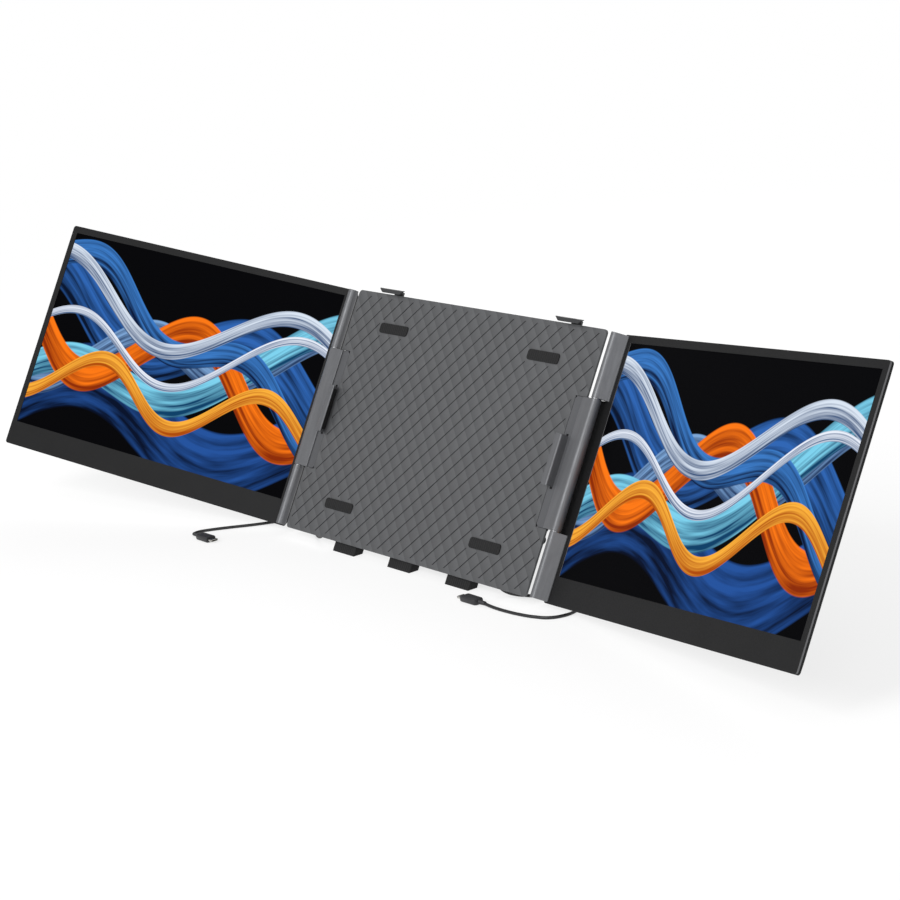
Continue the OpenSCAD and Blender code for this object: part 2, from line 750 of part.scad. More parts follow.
module glass(side) {
    color("#050507") on_screen(side) box([view_x - glass_margin, glass_y, bezel_chin - glass_margin],
        [view_x + view_w + glass_margin, lcd_y, bezel_chin + view_h + glass_margin]);
}

module picture_module(side) {
    color("silver") on_screen(side) {
        box([view_x - lcd_margin, lcd_y, bezel_chin - lcd_margin],
            [view_x + view_w + lcd_margin, lcd_back - 0.6, bezel_chin + view_h + lcd_margin]);
        box([view_x + 4, lcd_back - 0.6, bezel_chin + 4],
            [view_x + view_w - 4, lcd_back, bezel_chin + view_h - 4]);
    }
}

module rear_cover(side) {
    slot_pitch = 9;
    slot_size = [2.6, 22];
    slots = 14;
    color("#262627") on_screen(side) difference() {
        union() {
            difference() {
                hull() {
                    slab(cover_y, edge_t - bezel_t) screen_outline(0, 0, $fn = 32);
                    slab(rear_y - 0.4, 0.4) screen_outline(rear_slope, hinge_slope, $fn = 32);
                }
                hull() {
                    slab(cover_y - over, edge_t - bezel_t + over - 0.3)
                        screen_outline(cover_wall, cover_wall, $fn = 32);
                    slab(inner_y - 0.4, 0.4)
                        screen_outline(rear_slope + 0.6, hinge_slope + cover_wall, $fn = 32);
                }
            }
            for (x = [view_x + 14, view_x + view_w - 14],
                z = [bezel_chin + 14, bezel_chin + view_h - 14])
                rod_y_axis(x, z, lcd_back, inner_y - lcd_back + 0.5, 3);
            for (x = [-1, 1]) rod_y_axis(chin_screw_x[1] + chin_pitch / 2 + x * 38, chin_screw_z - 1,
                cover_y + 2.6, inner_y - cover_y - 2.1, 1.8);
        }
        for (i = [0:slots - 1]) slab(inner_y - over, cover_wall + 2 * over)
            round_rect([view_x + view_w / 2 + (i - slots / 2) * slot_pitch + 3, bezel_chin + 20],
                slot_size, 1.2);
        for (x = chin_screw_x) {
            rod_y_axis(x, chin_screw_z, inner_y - over, cover_wall + 2 * over, small_screw_r + 0.2);
            rod_y_axis(x, chin_screw_z, rear_y - small_head_t, small_head_t + over,
                small_head_r + 0.2);
        }
        for (x = button_x)
            rod_y_axis(x, button_z, inner_y - over, cover_wall + 2 * over, button_r + 0.2);
    }
}

// A knuckle: barrel on the axis with a foot that lies on the bezel
module knuckle(side, upper) {
    tip = [foot_reach, face_setback - foot_lip];
    heel = [screen_gap, face_setback];
    z0 = upper ? upper_knuckle_z : lower_knuckle_z;
    bore_z = upper ? -over : pin_z - z0 - 0.3;
    color("gray") on_screen(side) translate([0, 0, z0]) difference() {
        union() {
            cylinder(r = barrel_r, h = knuckle_len);
            linear_extrude(knuckle_len) polygon([touch_point(tip, -1), tip,
                [foot_reach, face_setback], heel, touch_point(heel, 1), [0, 0]]);
        }
        translate([0, 0, bore_z])
            cylinder(r = pin_r + fit, h = knuckle_len - knuckle_cap + 0.3 + over);
        for (k = [-1, 1]) rod_y_axis(knuckle_screw_x, knuckle_len / 2 + k * knuckle_screw_step,
            face_setback - 4, 4 + over, small_screw_r + fit);
    }
}

module knuckle_plates(side) {
    color("silver") on_screen(side) for (z = [lower_knuckle_z, upper_knuckle_z]) difference() {
        box([knuckle_screw_x - 1.4 - small_screw_r + 0.7, cover_y, z + 6],
            [screen_gap + bezel_hinge - lcd_margin - 0.3, cover_y + knuckle_plate_t,
                z + knuckle_len - 6]);
        for (k = [-1, 1]) rod_y_axis(knuckle_screw_x, z + knuckle_len / 2 + k * knuckle_screw_step,
            cover_y - over, knuckle_plate_t + 2 * over, small_screw_r + 0.15);
    }
}

module knuckle_screws(side) {
    head_y = cover_y + knuckle_plate_t;
    color("silver") on_screen(side) for (z = knuckle_screw_z()) {
        rod_y_axis(knuckle_screw_x, z, face_setback - 3.6, head_y - face_setback + 3.6, small_screw_r);
        rod_y_axis(knuckle_screw_x, z, head_y, 0.8, 1.5);
    }
}

module cover_screws(side) {
    color("black") on_screen(side) for (x = chin_screw_x) {
        rod_y_axis(x, chin_screw_z, cover_y + 1, rear_y - small_head_t - cover_y - 1, small_screw_r);
        difference() {
            rod_y_axis(x, chin_screw_z, rear_y - small_head_t, small_head_t - 0.1, small_head_r);
            rod_y_axis(x, chin_screw_z, rear_y - 0.7, over, 0.8, $fn = 6);
        }
    }
}

module control_board(side) {
    mid = chin_screw_x[1] + chin_pitch / 2;
    color("darkgreen") on_screen(side) {
        box([mid - 46, cover_y + 1, chin_screw_z - 8], [mid + 46, cover_y + 2.6, chin_screw_z + 6]);
        for (x = [-22, 4]) box([mid + x, cover_y + 2.6, chin_screw_z - 5],
            [mid + x + 16, cover_y + 3.8, chin_screw_z + 5]);
    }
}

module speakers(side) {
    color("black") on_screen(side) for (i = [0, 2]) {
        mid = chin_screw_x[i] + chin_pitch / 2;
        box([mid - 22, cover_y, chin_screw_z - 6], [mid + 22, cover_y + 4, chin_screw_z + 6]);
    }
}

module button(side, place) {
    x = button_x[place];
    color("#3a3a3c") on_screen(side) {
        rod_y_axis(x, button_z, inner_y - 0.2 - button_flange, cover_wall + 0.2 + button_flange
            + button_stand, button_r);
        rod_y_axis(x, button_z, inner_y - 0.2 - button_flange, button_flange, button_r + 1);
    }
}

// ---------------------------------------------------------------- cables

// A round tube swept along points, with rings square to the route and both ends closed
module tube(points, r, sides) {
    count = len(points);
    function along(i) = let (d = points[min(i + 1, count - 1)] - points[max(i - 1, 0)]) d / norm(d);
    function across(i) = let (s = cross(along(i), [0, 0, 1]),
        n = norm(s) > 0.05 ? s : cross(along(i), [0, 1, 0])) n / norm(n);
    rings = [for (i = [0:count - 1]) let (u = across(i), v = cross(u, along(i)))
        for (k = [0:sides - 1]) points[i] + r * (cos(360 * k / sides) * u + sin(360 * k / sides) * v)];
    walls = [for (i = [0:count - 2], k = [0:sides - 1]) let (n = (k + 1) % sides)
        each [[i * sides + k, i * sides + n, (i + 1) * sides + n],
            [i * sides + k, (i + 1) * sides + n, (i + 1) * sides + k]]];
    polyhedron(rings, concat(walls, [[for (k = [sides - 1:-1:0]) k]],
        [[for (k = [0:sides - 1]) (count - 1) * sides + k]]));
}

module cable(route) {
    color("black") tube(route, cable_d / 2, 8);
}

// A plug along +X from its cable end: relief, moulding and metal shell
module plug() {
    rotate([0, 90, 0]) cylinder(r = strain_r, h = strain_len);
    translate([strain_len, 0, 0]) rotate([90, 0, 90]) linear_extrude(plug_len)
        round_rect([-plug_w / 2, -plug_t / 2], [plug_w, plug_t], 2.2);
    translate([strain_len + plug_len, 0, 0]) rotate([90, 0, 90]) linear_extrude(shell_len)
        round_rect([-tongue_w / 2, -shell_t / 2], [tongue_w, shell_t], 1.1);
}

// The plug that sits in the housing's socket, pointing up along the leaning plate
module hub_plug(side) {
    color("black") stand_up() on_side(side)
        translate([socket_x, plug_y, hub_plug_z])
            rotate([0, -90, 90]) plug();
}

// The loose plug that lies on the desk at the end of a route
module free_plug(route, turn) {
    end = route[len(route) - 1];
    color("black") translate([end[0], end[1], plug_t / 2]) rotate([0, 0, turn])
        translate([-cable_sink, 0, 0]) plug();
}

centre_plate();
rear_housing();
housing_screws();
lid_pads();
base_feet();
guide_rods();
hub_board();
cable_sockets();
kickstand_pin();
kickstand_leg();
kickstand_foot();
top_clip(-1);  // left_top_clip
top_clip(1);  // right_top_clip
slider(-1);  // left_slider
hinge_cover(-1);  // left_hinge_cover
hinge_pin(-1);  // left_hinge_pin
hinge_washers(-1);  // left_washers
side_hook(-1);  // left_side_hook
hook_pad(-1);  // left_hook_pad
slider(1);  // right_slider
hinge_cover(1);  // right_hinge_cover
hinge_pin(1);  // right_hinge_pin
hinge_washers(1);  // right_washers
side_hook(1);  // right_side_hook
hook_pad(1);  // right_hook_pad
bezel(-1);  // left_bezel
glass(-1);  // left_glass
picture_module(-1);  // left_picture_module
rear_cover(-1);  // left_rear_cover
knuckle(-1, true);  // left_upper_knuckle
knuckle(-1, false);  // left_lower_knuckle
knuckle_plates(-1);  // left_knuckle_plates
knuckle_screws(-1);  // left_knuckle_screws
cover_screws(-1);  // left_cover_screws
control_board(-1);  // left_control_board
speakers(-1);  // left_speakers
button(-1, 0);  // left_power_button
button(-1, 1);  // left_menu_button
bezel(1);  // right_bezel
glass(1);  // right_glass
picture_module(1);  // right_picture_module
rear_cover(1);  // right_rear_cover
knuckle(1, true);  // right_upper_knuckle
knuckle(1, false);  // right_lower_knuckle
knuckle_plates(1);  // right_knuckle_plates
knuckle_screws(1);  // right_knuckle_screws
cover_screws(1);  // right_cover_screws
control_board(1);  // right_control_board
speakers(1);  // right_speakers
button(1, 0);  // right_power_button
button(1, 1);  // right_menu_button
cable(left_route);  // left_cable
hub_plug(-1);  // left_hub_plug
free_plug(left_route, 0);  // left_free_plug
cable(right_route);  // right_cable
hub_plug(1);  // right_hub_plug
free_plug(right_route, 180);  // right_free_plug
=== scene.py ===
"""Looks of a clip-on screen extender: two side screens hinged to a leaning centre unit.

Lengths are millimetres, drawn in the flat frame of the centre unit or of one screen, and a Frame
turns them into metres in the space that the whole unit stands in. Colours are sRGB hex values.
"""
import json
import logging
import math
from collections.abc import Mapping, Sequence
from dataclasses import dataclass, field
from enum import Enum
from typing import Any

import bmesh
import bpy
from mathutils import Matrix, Vector

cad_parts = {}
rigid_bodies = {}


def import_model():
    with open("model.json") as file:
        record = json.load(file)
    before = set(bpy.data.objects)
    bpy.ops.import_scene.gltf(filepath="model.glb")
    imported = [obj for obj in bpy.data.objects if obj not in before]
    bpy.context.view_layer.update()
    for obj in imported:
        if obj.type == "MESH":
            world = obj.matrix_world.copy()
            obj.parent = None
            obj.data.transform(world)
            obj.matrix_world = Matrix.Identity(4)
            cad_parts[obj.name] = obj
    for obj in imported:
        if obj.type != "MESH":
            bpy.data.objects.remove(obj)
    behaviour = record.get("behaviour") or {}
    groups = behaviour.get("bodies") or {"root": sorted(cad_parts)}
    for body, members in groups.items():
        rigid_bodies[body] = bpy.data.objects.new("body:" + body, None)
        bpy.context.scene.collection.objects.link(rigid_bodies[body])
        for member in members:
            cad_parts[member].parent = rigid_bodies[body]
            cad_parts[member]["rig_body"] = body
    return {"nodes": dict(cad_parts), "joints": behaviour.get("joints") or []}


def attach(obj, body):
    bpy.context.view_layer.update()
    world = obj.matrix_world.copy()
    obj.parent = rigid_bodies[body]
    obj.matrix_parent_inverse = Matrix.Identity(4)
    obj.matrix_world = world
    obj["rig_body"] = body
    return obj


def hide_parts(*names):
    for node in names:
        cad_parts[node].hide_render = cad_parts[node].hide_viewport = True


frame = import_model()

Tree = bpy.types.NodeTree
Socket = bpy.types.NodeSocket
Node = bpy.types.Node
Material = bpy.types.Material
Mesh = bpy.types.Mesh
Object = bpy.types.Object
Pair = tuple[float, float]
Triple = tuple[float, float, float]
Colour = tuple[float, float, float, float]
Step = tuple[float, float, float, float]

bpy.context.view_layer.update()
MM = 0.001

LEAN = math.radians(29.5)
SHARP = math.radians(32)
FLAT = math.radians(0.5)
WELD_MM = 0.004
RING_POINTS = 32
# The middle part of a noise's range, where nearly all of its values lie.
NOISE_SPAN = (0.3, 0.7)

log = logging.getLogger("extender")


class Side(Enum):
    """The two sides of the unit, with the sign of X on each."""

    LEFT = -1
    RIGHT = 1

    @property
    def label(self) -> str:
        """The side's name as the solids spell it."""
        return self.name.lower()


# ---------------------------------------------------------------- nodes and colours


def linear(colour: str) -> Colour:
    """Turns an sRGB hex colour into linear RGBA.

    Args:
        colour: Six hex digits after a hash, such as "#202224".

    Returns:
        Linear red, green and blue from 0 to 1, and 1 for opaque.
    """
    parts = [int(colour[i : i + 2], 16) / 255 for i in (1, 3, 5)]
    r, g, b = (c / 12.92 if c <= 0.04045 else ((c + 0.055) / 1.055) ** 2.4 for c in parts)
    return r, g, b, 1.0


def add_node(
    tree: Tree,
    kind: str,
    inputs: Mapping[str | int, Any] | None = None,
    **settings: Any,
) -> Node:
    """Adds one node with its settings, input values and links.

    Args:
        tree: The node tree to add to.
        kind: The node's type name.
        inputs: Values or other nodes' outputs, by input name or number.
        **settings: Properties of the node itself.

    Returns:
        The new node.
    """
    node = tree.nodes.new(kind)
    for name, value in settings.items():
        setattr(node, name, value)
    for key, value in (inputs or {}).items():
        if isinstance(value, Socket):
            tree.links.new(value, node.inputs[key])
        else:
            node.inputs[key].default_value = value
    return node


def calc(tree: Tree, kind: str, first: Any, second: Any = 0.0, third: Any = 0.0) -> Socket:
    """Adds one calculation on up to three values.

    Args:
        tree: The node tree.
        kind: The operation.
        first: Its first number or socket.
        second: Its second one.
        third: Its third one.

    Returns:
        The socket that carries the result.
    """
    return add_node(
        tree, "ShaderNodeMath", {0: first, 1: second, 2: third}, operation=kind
    ).outputs[0]


def remap(
    tree: Tree,
    value: Socket,
    source: Pair = (0.0, 1.0),
    target: Pair = (0.0, 1.0),
    curve: str = "LINEAR",
) -> Socket:
    """Maps one range of a value to another and holds it at both ends.

    Args:
        tree: The node tree.
        value: The value.
        source: Where it starts and ends.
        target: What it becomes there.
        curve: How it runs between them.

    Returns:
        The socket that carries the result.
    """
    ends = {"From Min": source[0], "From Max": source[1], "To Min": target[0], "To Max": target[1]}
    return add_node(
        tree, "ShaderNodeMapRange", {"Value": value, **ends}, interpolation_type=curve
    ).outputs[0]


def blend(tree: Tree, share: Any, below: Any, above: Any) -> Socket:
    """Lays one colour over another.

    Args:
        tree: The node tree.
        share: How much of the upper colour shows, from 0 to 1.
        below: The lower colour.
        above: The upper colour.

    Returns:
        The socket that carries the mixed colour.
    """
    # Sockets 6 and 7 are the two colours of a mix, and output 2 is its colour.
    return add_node(
        tree, "ShaderNodeMix", {0: share, 6: below, 7: above}, data_type="RGBA"
    ).outputs[2]


def shade(
    tree: Tree,
    value: Socket,
    colours: Sequence[Colour],
    stops: Pair = (0.0, 1.0),
) -> Socket:
    """Runs from one colour to another as a value grows.

    Args:
        tree: The node tree.
        value: The value.
        colours: The two colours, in linear RGBA.
        stops: The values at which they are reached.

    Returns:
        The socket that carries the colour.
    """
    node = add_node(tree, "ShaderNodeValToRGB", {"Fac": value})
    for element, stop, colour in zip(node.color_ramp.elements, stops, colours):
        element.position = stop
        element.color = colour
    return node.outputs[0]


def noise(
    tree: Tree,
    place: Socket,
    scale: float,
    detail: float,
    dimensions: str = "3D",
) -> Socket:
    """Adds a cloudy noise from 0 to 1.

    Args:
        tree: The node tree.
        place: The coordinates.
        scale: Features per unit of them.
        detail: Finer layers on top of the coarse one.
        dimensions: "2D" or "3D".

    Returns:
        The socket that carries it.
    """
    return add_node(
        tree,
        "ShaderNodeTexNoise",
        {"Vector": place, "Scale": scale, "Detail": detail},
        noise_dimensions=dimensions,
    ).outputs[0]


def new_material(name: str) -> tuple[Material, Tree, Node]:
    """Makes a material with nodes.

    Args:
        name: Its name.

    Returns:
        The material, its node tree and its main shader.
    """
    material = bpy.data.materials.new(name)
    material.use_nodes = True
    return material, material.node_tree, material.node_tree.nodes["Principled BSDF"]


def around(colour: str, spread: float) -> list[Colour]:
    """A colour made darker and lighter by a share of itself.

    Args:
        colour: The sRGB hex colour.
        spread: The share.

    Returns:
        The darker and the lighter colour, in linear RGBA.
    """
    r, g, b, _ = linear(colour)
    return [(r * gain, g * gain, b * gain, 1.0) for gain in (1 - spread, 1 + spread)]


def per_metre(size_mm: float) -> float:
    """Scale of a noise on coordinates in metres.

    Args:
        size_mm: How wide its features are.

    Returns:
        The scale.
    """
    return 1 / (size_mm * MM)


def upright(tree: Tree, stretch: Triple) -> Socket:
    """Coordinates in metres that lean back with the unit: X across, Y to the back, Z up the plate.

    Args:
        tree: The material's node tree.
        stretch: How many times longer the pattern runs along each direction.

    Returns:
        The socket that carries them.
    """
    return add_node(
        tree,
        "ShaderNodeMapping",
        {
            "Vector": add_node(tree, "ShaderNodeTexCoord").outputs["Object"],
            "Rotation": (-LEAN, 0.0, 0.0),
            "Scale": stretch,
        },
        vector_type="TEXTURE",
    ).outputs[0]


# ---------------------------------------------------------------- finishes


@dataclass(frozen=True)
class Finish:
    """A procedural finish: colour that varies a little, with grain in gloss and relief."""

    name: str
    slot: str
    colour: str
    roughness: float
    metallic: float = 0.0
    ior: float = 1.5
    mottle_mm: float = 25.0
    mottle: float = 0.06
    grain_mm: float = 1.2
    grain: float = 0.1
    relief_mm: float = 0.03
    stretch: Triple = (1.0, 1.0, 1.0)
    specular: float = 0.5

    def build(self) -> Material:
        """Makes the material.

        Returns:
            A material whose pattern is fixed to the piece that wears it.
        """
        material, tree, shader = new_material(self.name)
        place = upright(tree, self.stretch)
        self.tint(tree, shader, place)
        self.polish(tree, shader, place)
        shader.inputs["Metallic"].default_value = self.metallic
        if self.metallic < 0.5:
            shader.inputs["IOR"].default_value = self.ior
        shader.inputs["Specular IOR Level"].default_value = self.specular
        return material

    def tint(self, tree: Tree, shader: Node, place: Socket) -> None:
        """Gives the colour a soft mottle.

        Args:
            tree: The material's node tree.
            shader: Its main shader.
            place: Coordinates in metres on the piece.
        """
        cloud = noise(tree, place, per_metre(self.mottle_mm), 3.0)
        mottled = shade(tree, cloud, around(self.colour, self.mottle), NOISE_SPAN)
        tree.links.new(mottled, shader.inputs["Base Color"])

    def polish(self, tree: Tree, shader: Node, place: Socket) -> None:
        """Varies the gloss and raises the grain.

        Args:
            tree: The material's node tree.
            shader: Its main shader.
            place: Coordinates in metres on the piece.
        """
        grit = noise(tree, place, per_metre(self.grain_mm), 2.0)
        limits = (max(self.roughness - self.grain, 0.02), min(self.roughness + self.grain, 1.0))
        tree.links.new(remap(tree, grit, NOISE_SPAN, limits), shader.inputs["Roughness"])
        bump = add_node(
            tree,
            "ShaderNodeBump",
            {
                "Height": self.height(tree, grit, place),
                "Strength": 1.0,
                "Distance": self.relief_mm * MM,
            },
        )
        tree.links.new(bump.outputs[0], shader.inputs["Normal"])

    def height(self, tree: Tree, grit: Socket, place: Socket) -> Socket:
        """The relief's height: here the grain alone.

        Args:
            tree: The material's node tree; not used here.
            grit: The grain, from 0 to 1.
            place: Coordinates in metres on the piece; not used here.

        Returns:
            The socket that carries the height.
        """
        return grit


@dataclass(frozen=True)
class RibbedFinish(Finish):
    """A finish with straight ridges, such as a grip's ribs or a lathe's marks."""

    rib_mm: float = 3.0
    rib_axis: str = "X"
    rib_share: float = 0.8

    def height(self, tree: Tree, grit: Socket, place: Socket) -> Socket:
        """The relief's height: ribs with some grain on them.

        Args:
            tree: The material's node tree.
            grit: The grain, from 0 to 1.
            place: Coordinates in metres on the piece.

        Returns:
            The socket that carries the height.
        """
        # A wave of scale s repeats every 2 pi / (20 s) metres along its axis.
        ribs = add_node(
            tree,
            "ShaderNodeTexWave",
            {"Vector": place, "Scale": per_metre(self.rib_mm) * math.tau / 20},
            bands_direction=self.rib_axis,
        ).outputs["Fac"]
        return add_node(
            tree, "ShaderNodeMix", {"Factor": self.rib_share, "A": grit, "B": ribs}
        ).outputs[0]


@dataclass(frozen=True)
class TrimmedFinish(Finish):
    """A moulding with a painted highlight: its outer side walls, away from the middle of the unit,
    are painted a lighter colour where they face outwards.
    """

    # The painted highlight's colour, and the outward facing over which it fades in.
    trim_colour: str = "#68686a"
    trim_turn: Pair = (0.6, 0.85)

    def tint(self, tree: Tree, shader: Node, place: Socket) -> None:
        """Mottles the colour and paints a highlight on the outer side walls.

        Args:
            tree: The material's node tree.
            shader: Its main shader.
            place: Coordinates in metres on the piece.
        """
        super().tint(tree, shader, place)
        mottled = shader.inputs["Base Color"].links[0].from_socket
        # Painted highlight: walls that face away from the middle of the unit take a lighter colour.
        side = add_node(tree, "ShaderNodeSeparateXYZ", {"Vector": place}).outputs["X"]
        normal = add_node(tree, "ShaderNodeTexCoord").outputs["Normal"]
        turned = add_node(tree, "ShaderNodeSeparateXYZ", {"Vector": normal}).outputs["X"]
        outward = calc(tree, "MULTIPLY", turned, calc(tree, "SIGN", side))
        share = remap(tree, outward, self.trim_turn)
        highlighted = blend(tree, share, mottled, linear(self.trim_colour))
        tree.links.new(highlighted, shader.inputs["Base Color"])


@dataclass(frozen=True)
class FacetedFinish(Finish):
    """A pressed sheet with broad facets that slant down to the right, with painted shade and
    highlight across each facet and painted shade in its grooves.
    """

    facet_mm: float = 17.8
    facet_tone: float = 0.16
    facet_share: float = 0.93
    groove_reach_mm: float = 1.6
    groove_shade: float = 0.35
    groove_span: Pair = (0.35, 0.85)

    def facets(self, tree: Tree, place: Socket) -> Socket:
        """A saw-tooth from 0 to 1 across the facets.

        Args:
            tree: The material's node tree.
            place: Coordinates in metres on the piece.

        Returns:
            The socket that carries it.
        """
        axes = add_node(tree, "ShaderNodeSeparateXYZ", {"Vector": place})
        along = calc(tree, "ADD", axes.outputs["X"], axes.outputs["Z"])
        return calc(tree, "FRACT", calc(tree, "MULTIPLY", along, per_metre(self.facet_mm)))

    def tint(self, tree: Tree, shader: Node, place: Socket) -> None:
        """Paints shade and highlight across each facet, from dark to light, and paints shade into
        the grooves.

        Args:
            tree: The material's node tree.
            shader: Its main shader.
            place: Coordinates in metres on the piece.
        """
        # Painted shade and highlight: each facet's colour runs from dark to light.
        tone = shade(tree, self.facets(tree, place), around(self.colour, self.facet_tone))
        # Painted shade: the colour darkens in the grooves, where shade falls.
        hollow = add_node(
            tree, "ShaderNodeAmbientOcclusion", {"Distance": self.groove_reach_mm * MM}, samples=8
        ).outputs["AO"]
        depth = remap(tree, hollow, self.groove_span, (self.groove_shade, 1.0))
        shaded = add_node(
            tree, "ShaderNodeVectorMath", {0: tone, "Scale": depth}, operation="SCALE"
        )
        tree.links.new(shaded.outputs[0], shader.inputs["Base Color"])

    def height(self, tree: Tree, grit: Socket, place: Socket) -> Socket:
        """The relief's height: the facets, with a little grain.

        Args:
            tree: The material's node tree.
            grit: The grain, from 0 to 1.
            place: Coordinates in metres on the piece.

        Returns:
            The socket that carries the height.
        """
        facets = self.facets(tree, place)
        return add_node(
            tree, "ShaderNodeMix", {"Factor": self.facet_share, "A": grit, "B": facets}
        ).outputs[0]


# The charcoal finish of the hinges: fine bead-blasted metal under a thin satin paint, which
# shades in broad soft bands, with faint streaks along the hinge.
HINGE_ALUMINIUM = Finish(
    "satin_painted_aluminium", "hinge_grey", "#626366", 0.42, metallic=0.35, grain=0.06,
    relief_mm=0.02, mottle_mm=4.0, mottle=0.07, stretch=(1.0, 1.0, 9.0),
)
# Pressed aluminium plate, anodised a little darker: satin, with broad slanting facets that carry
# painted shade and highlight, and painted shade in the grooves.
PLATE_ALUMINIUM = FacetedFinish(
    "faceted_anodised_plate", "plate_grey", "#5d5e60", 0.42, metallic=0.45, grain_mm=1.4,
    grain=0.06, relief_mm=0.35,
)
# The sliders: the same anodised sheet without the facets.
SLIDER_ALUMINIUM = Finish(
    "satin_anodised_slider", "plate_grey", "#58595c", 0.44, metallic=0.4, grain_mm=1.4, grain=0.06,
    relief_mm=0.03, mottle_mm=9.0, mottle=0.06, stretch=(1.0, 1.0, 6.0),
)
# Moulded polycarbonate blend of the rear housing: a spark-eroded mould leaves it evenly matte.
HOUSING_PLASTIC = Finish(
    "spark_textured_polycarbonate", "housing_grey", "#4a4b4d", 0.55, grain_mm=1.5, grain=0.08,
    relief_mm=0.06,
)
# Top clips: the same plastic, near black, smoother so that the rolled top edge catches the light.
CLIP_PLASTIC = Finish(
    "satin_black_polycarbonate", "housing_grey", "#232426", 0.34, grain_mm=1.2, grain=0.05,
    relief_mm=0.02, specular=0.7,
)
# Moulded ABS of the bezels: near black, fine matte grain that only lightens at a low angle, with
# a painted highlight in lighter grey on the outer side walls.
BEZEL_ABS = TrimmedFinish(
    "fine_matte_abs", "bezel_black", "#141415", 0.52, grain_mm=1.2, grain=0.06, relief_mm=0.02,
    mottle=0.08, specular=0.2,
)
# Rear covers: the same ABS from a coarser mould, so the grain shows from a step away.
COVER_ABS = Finish(
    "coarse_matte_abs", "cover_black", "#161617", 0.58, grain_mm=1.8, grain=0.1, relief_mm=0.08,
    mottle=0.1, specular=0.25,
)
# Moulded rubber of the feet and pads: dull, with fine moulded ribs.
PAD_RUBBER = RibbedFinish(
    "ribbed_rubber", "rubber", "#161617", 0.75, ior=1.52, grain_mm=1.0, grain=0.08, relief_mm=0.25,
    specular=0.3, rib_mm=3.0,
)
# Ground steel of pins, rods and knuckle plates: bright, with fine turning marks round the axis.
TURNED_STEEL = RibbedFinish(
    "turned_steel", "steel", "#c9cac8", 0.22, metallic=1.0, grain_mm=1.0, grain=0.05,
    relief_mm=0.02, rib_mm=0.8, rib_axis="Z", mottle=0.04,
)
# Spring steel of the friction washers: satin, so it shows as a thin grey ring.
WASHER_STEEL = Finish(
    "satin_spring_steel", "steel", "#8b8c8e", 0.36, metallic=0.9, grain_mm=0.8, grain=0.05,
    relief_mm=0.01, mottle=0.04,
)
# Blackened steel of the screws: dark oxide with a slight oily shine.
BLACK_OXIDE = Finish(
    "black_oxide_steel", "dark_screws", "#2c2c2e", 0.34, metallic=0.9, grain_mm=0.8, grain=0.08,
    relief_mm=0.02,
)
# The kickstand's leg: brushed sheet aluminium, its lines running across the leg.
BRUSHED_LEG = Finish(
    "brushed_aluminium_leg", "leg_metal", "#6c6e70", 0.36, metallic=0.9, grain_mm=1.0, grain=0.1,
    relief_mm=0.02, stretch=(0.06, 1.0, 1.0),
)
# Solder mask over copper: glossy dark green, slightly cloudy.
SOLDER_MASK = Finish(
    "green_solder_mask", "board_green", "#0e3d24", 0.3, grain_mm=2.0, relief_mm=0.03, mottle=0.15
)
# Nickel-plated steel of sockets and plug shells.
NICKEL = Finish(
    "nickel_plate", "connector_metal", "#bdbcb8", 0.25, metallic=1.0, grain_mm=1.0, grain=0.05,
    relief_mm=0.01,
)
# Black polyester film over the picture module's back: it keeps the vents dark.
FILM = Finish("black_polyester_film", "panel", "#161617", 0.45, grain_mm=1.5, relief_mm=0.05)
# Near-black matte strips in the seams beside the hinge cover, a painted shade that keeps the seams
# dark: no shine at all, a little fuzz.
SEAM_SHADE_BLACK = Finish(
    "pressed_felt", "bezel_black", "#0c0c0d", 0.95, grain_mm=0.8, grain=0.04, relief_mm=0.15,
    specular=0.1,
)
# Extruded PVC jacket of the cables: black with a soft sheen.
CABLE_PVC = Finish(
    "extruded_pvc", "cable_black", "#18181a", 0.42, grain_mm=1.0, grain=0.06, relief_mm=0.02,
    specular=0.45,
)
# Moulded thermoplastic of the plugs: black, slightly more matte than the jacket.
PLUG_TPE = Finish(
    "moulded_plug", "cable_black", "#232326", 0.5, grain_mm=1.0, grain=0.08, relief_mm=0.05
)


@dataclass(frozen=True)
class Ribbon:
    """One flowing ribbon of the picture, in heights of the picture from its lower left corner."""

    dark: str
    light: str
    start: float
    slope: float
    wave: float
    length: float
    phase: float
    width: float


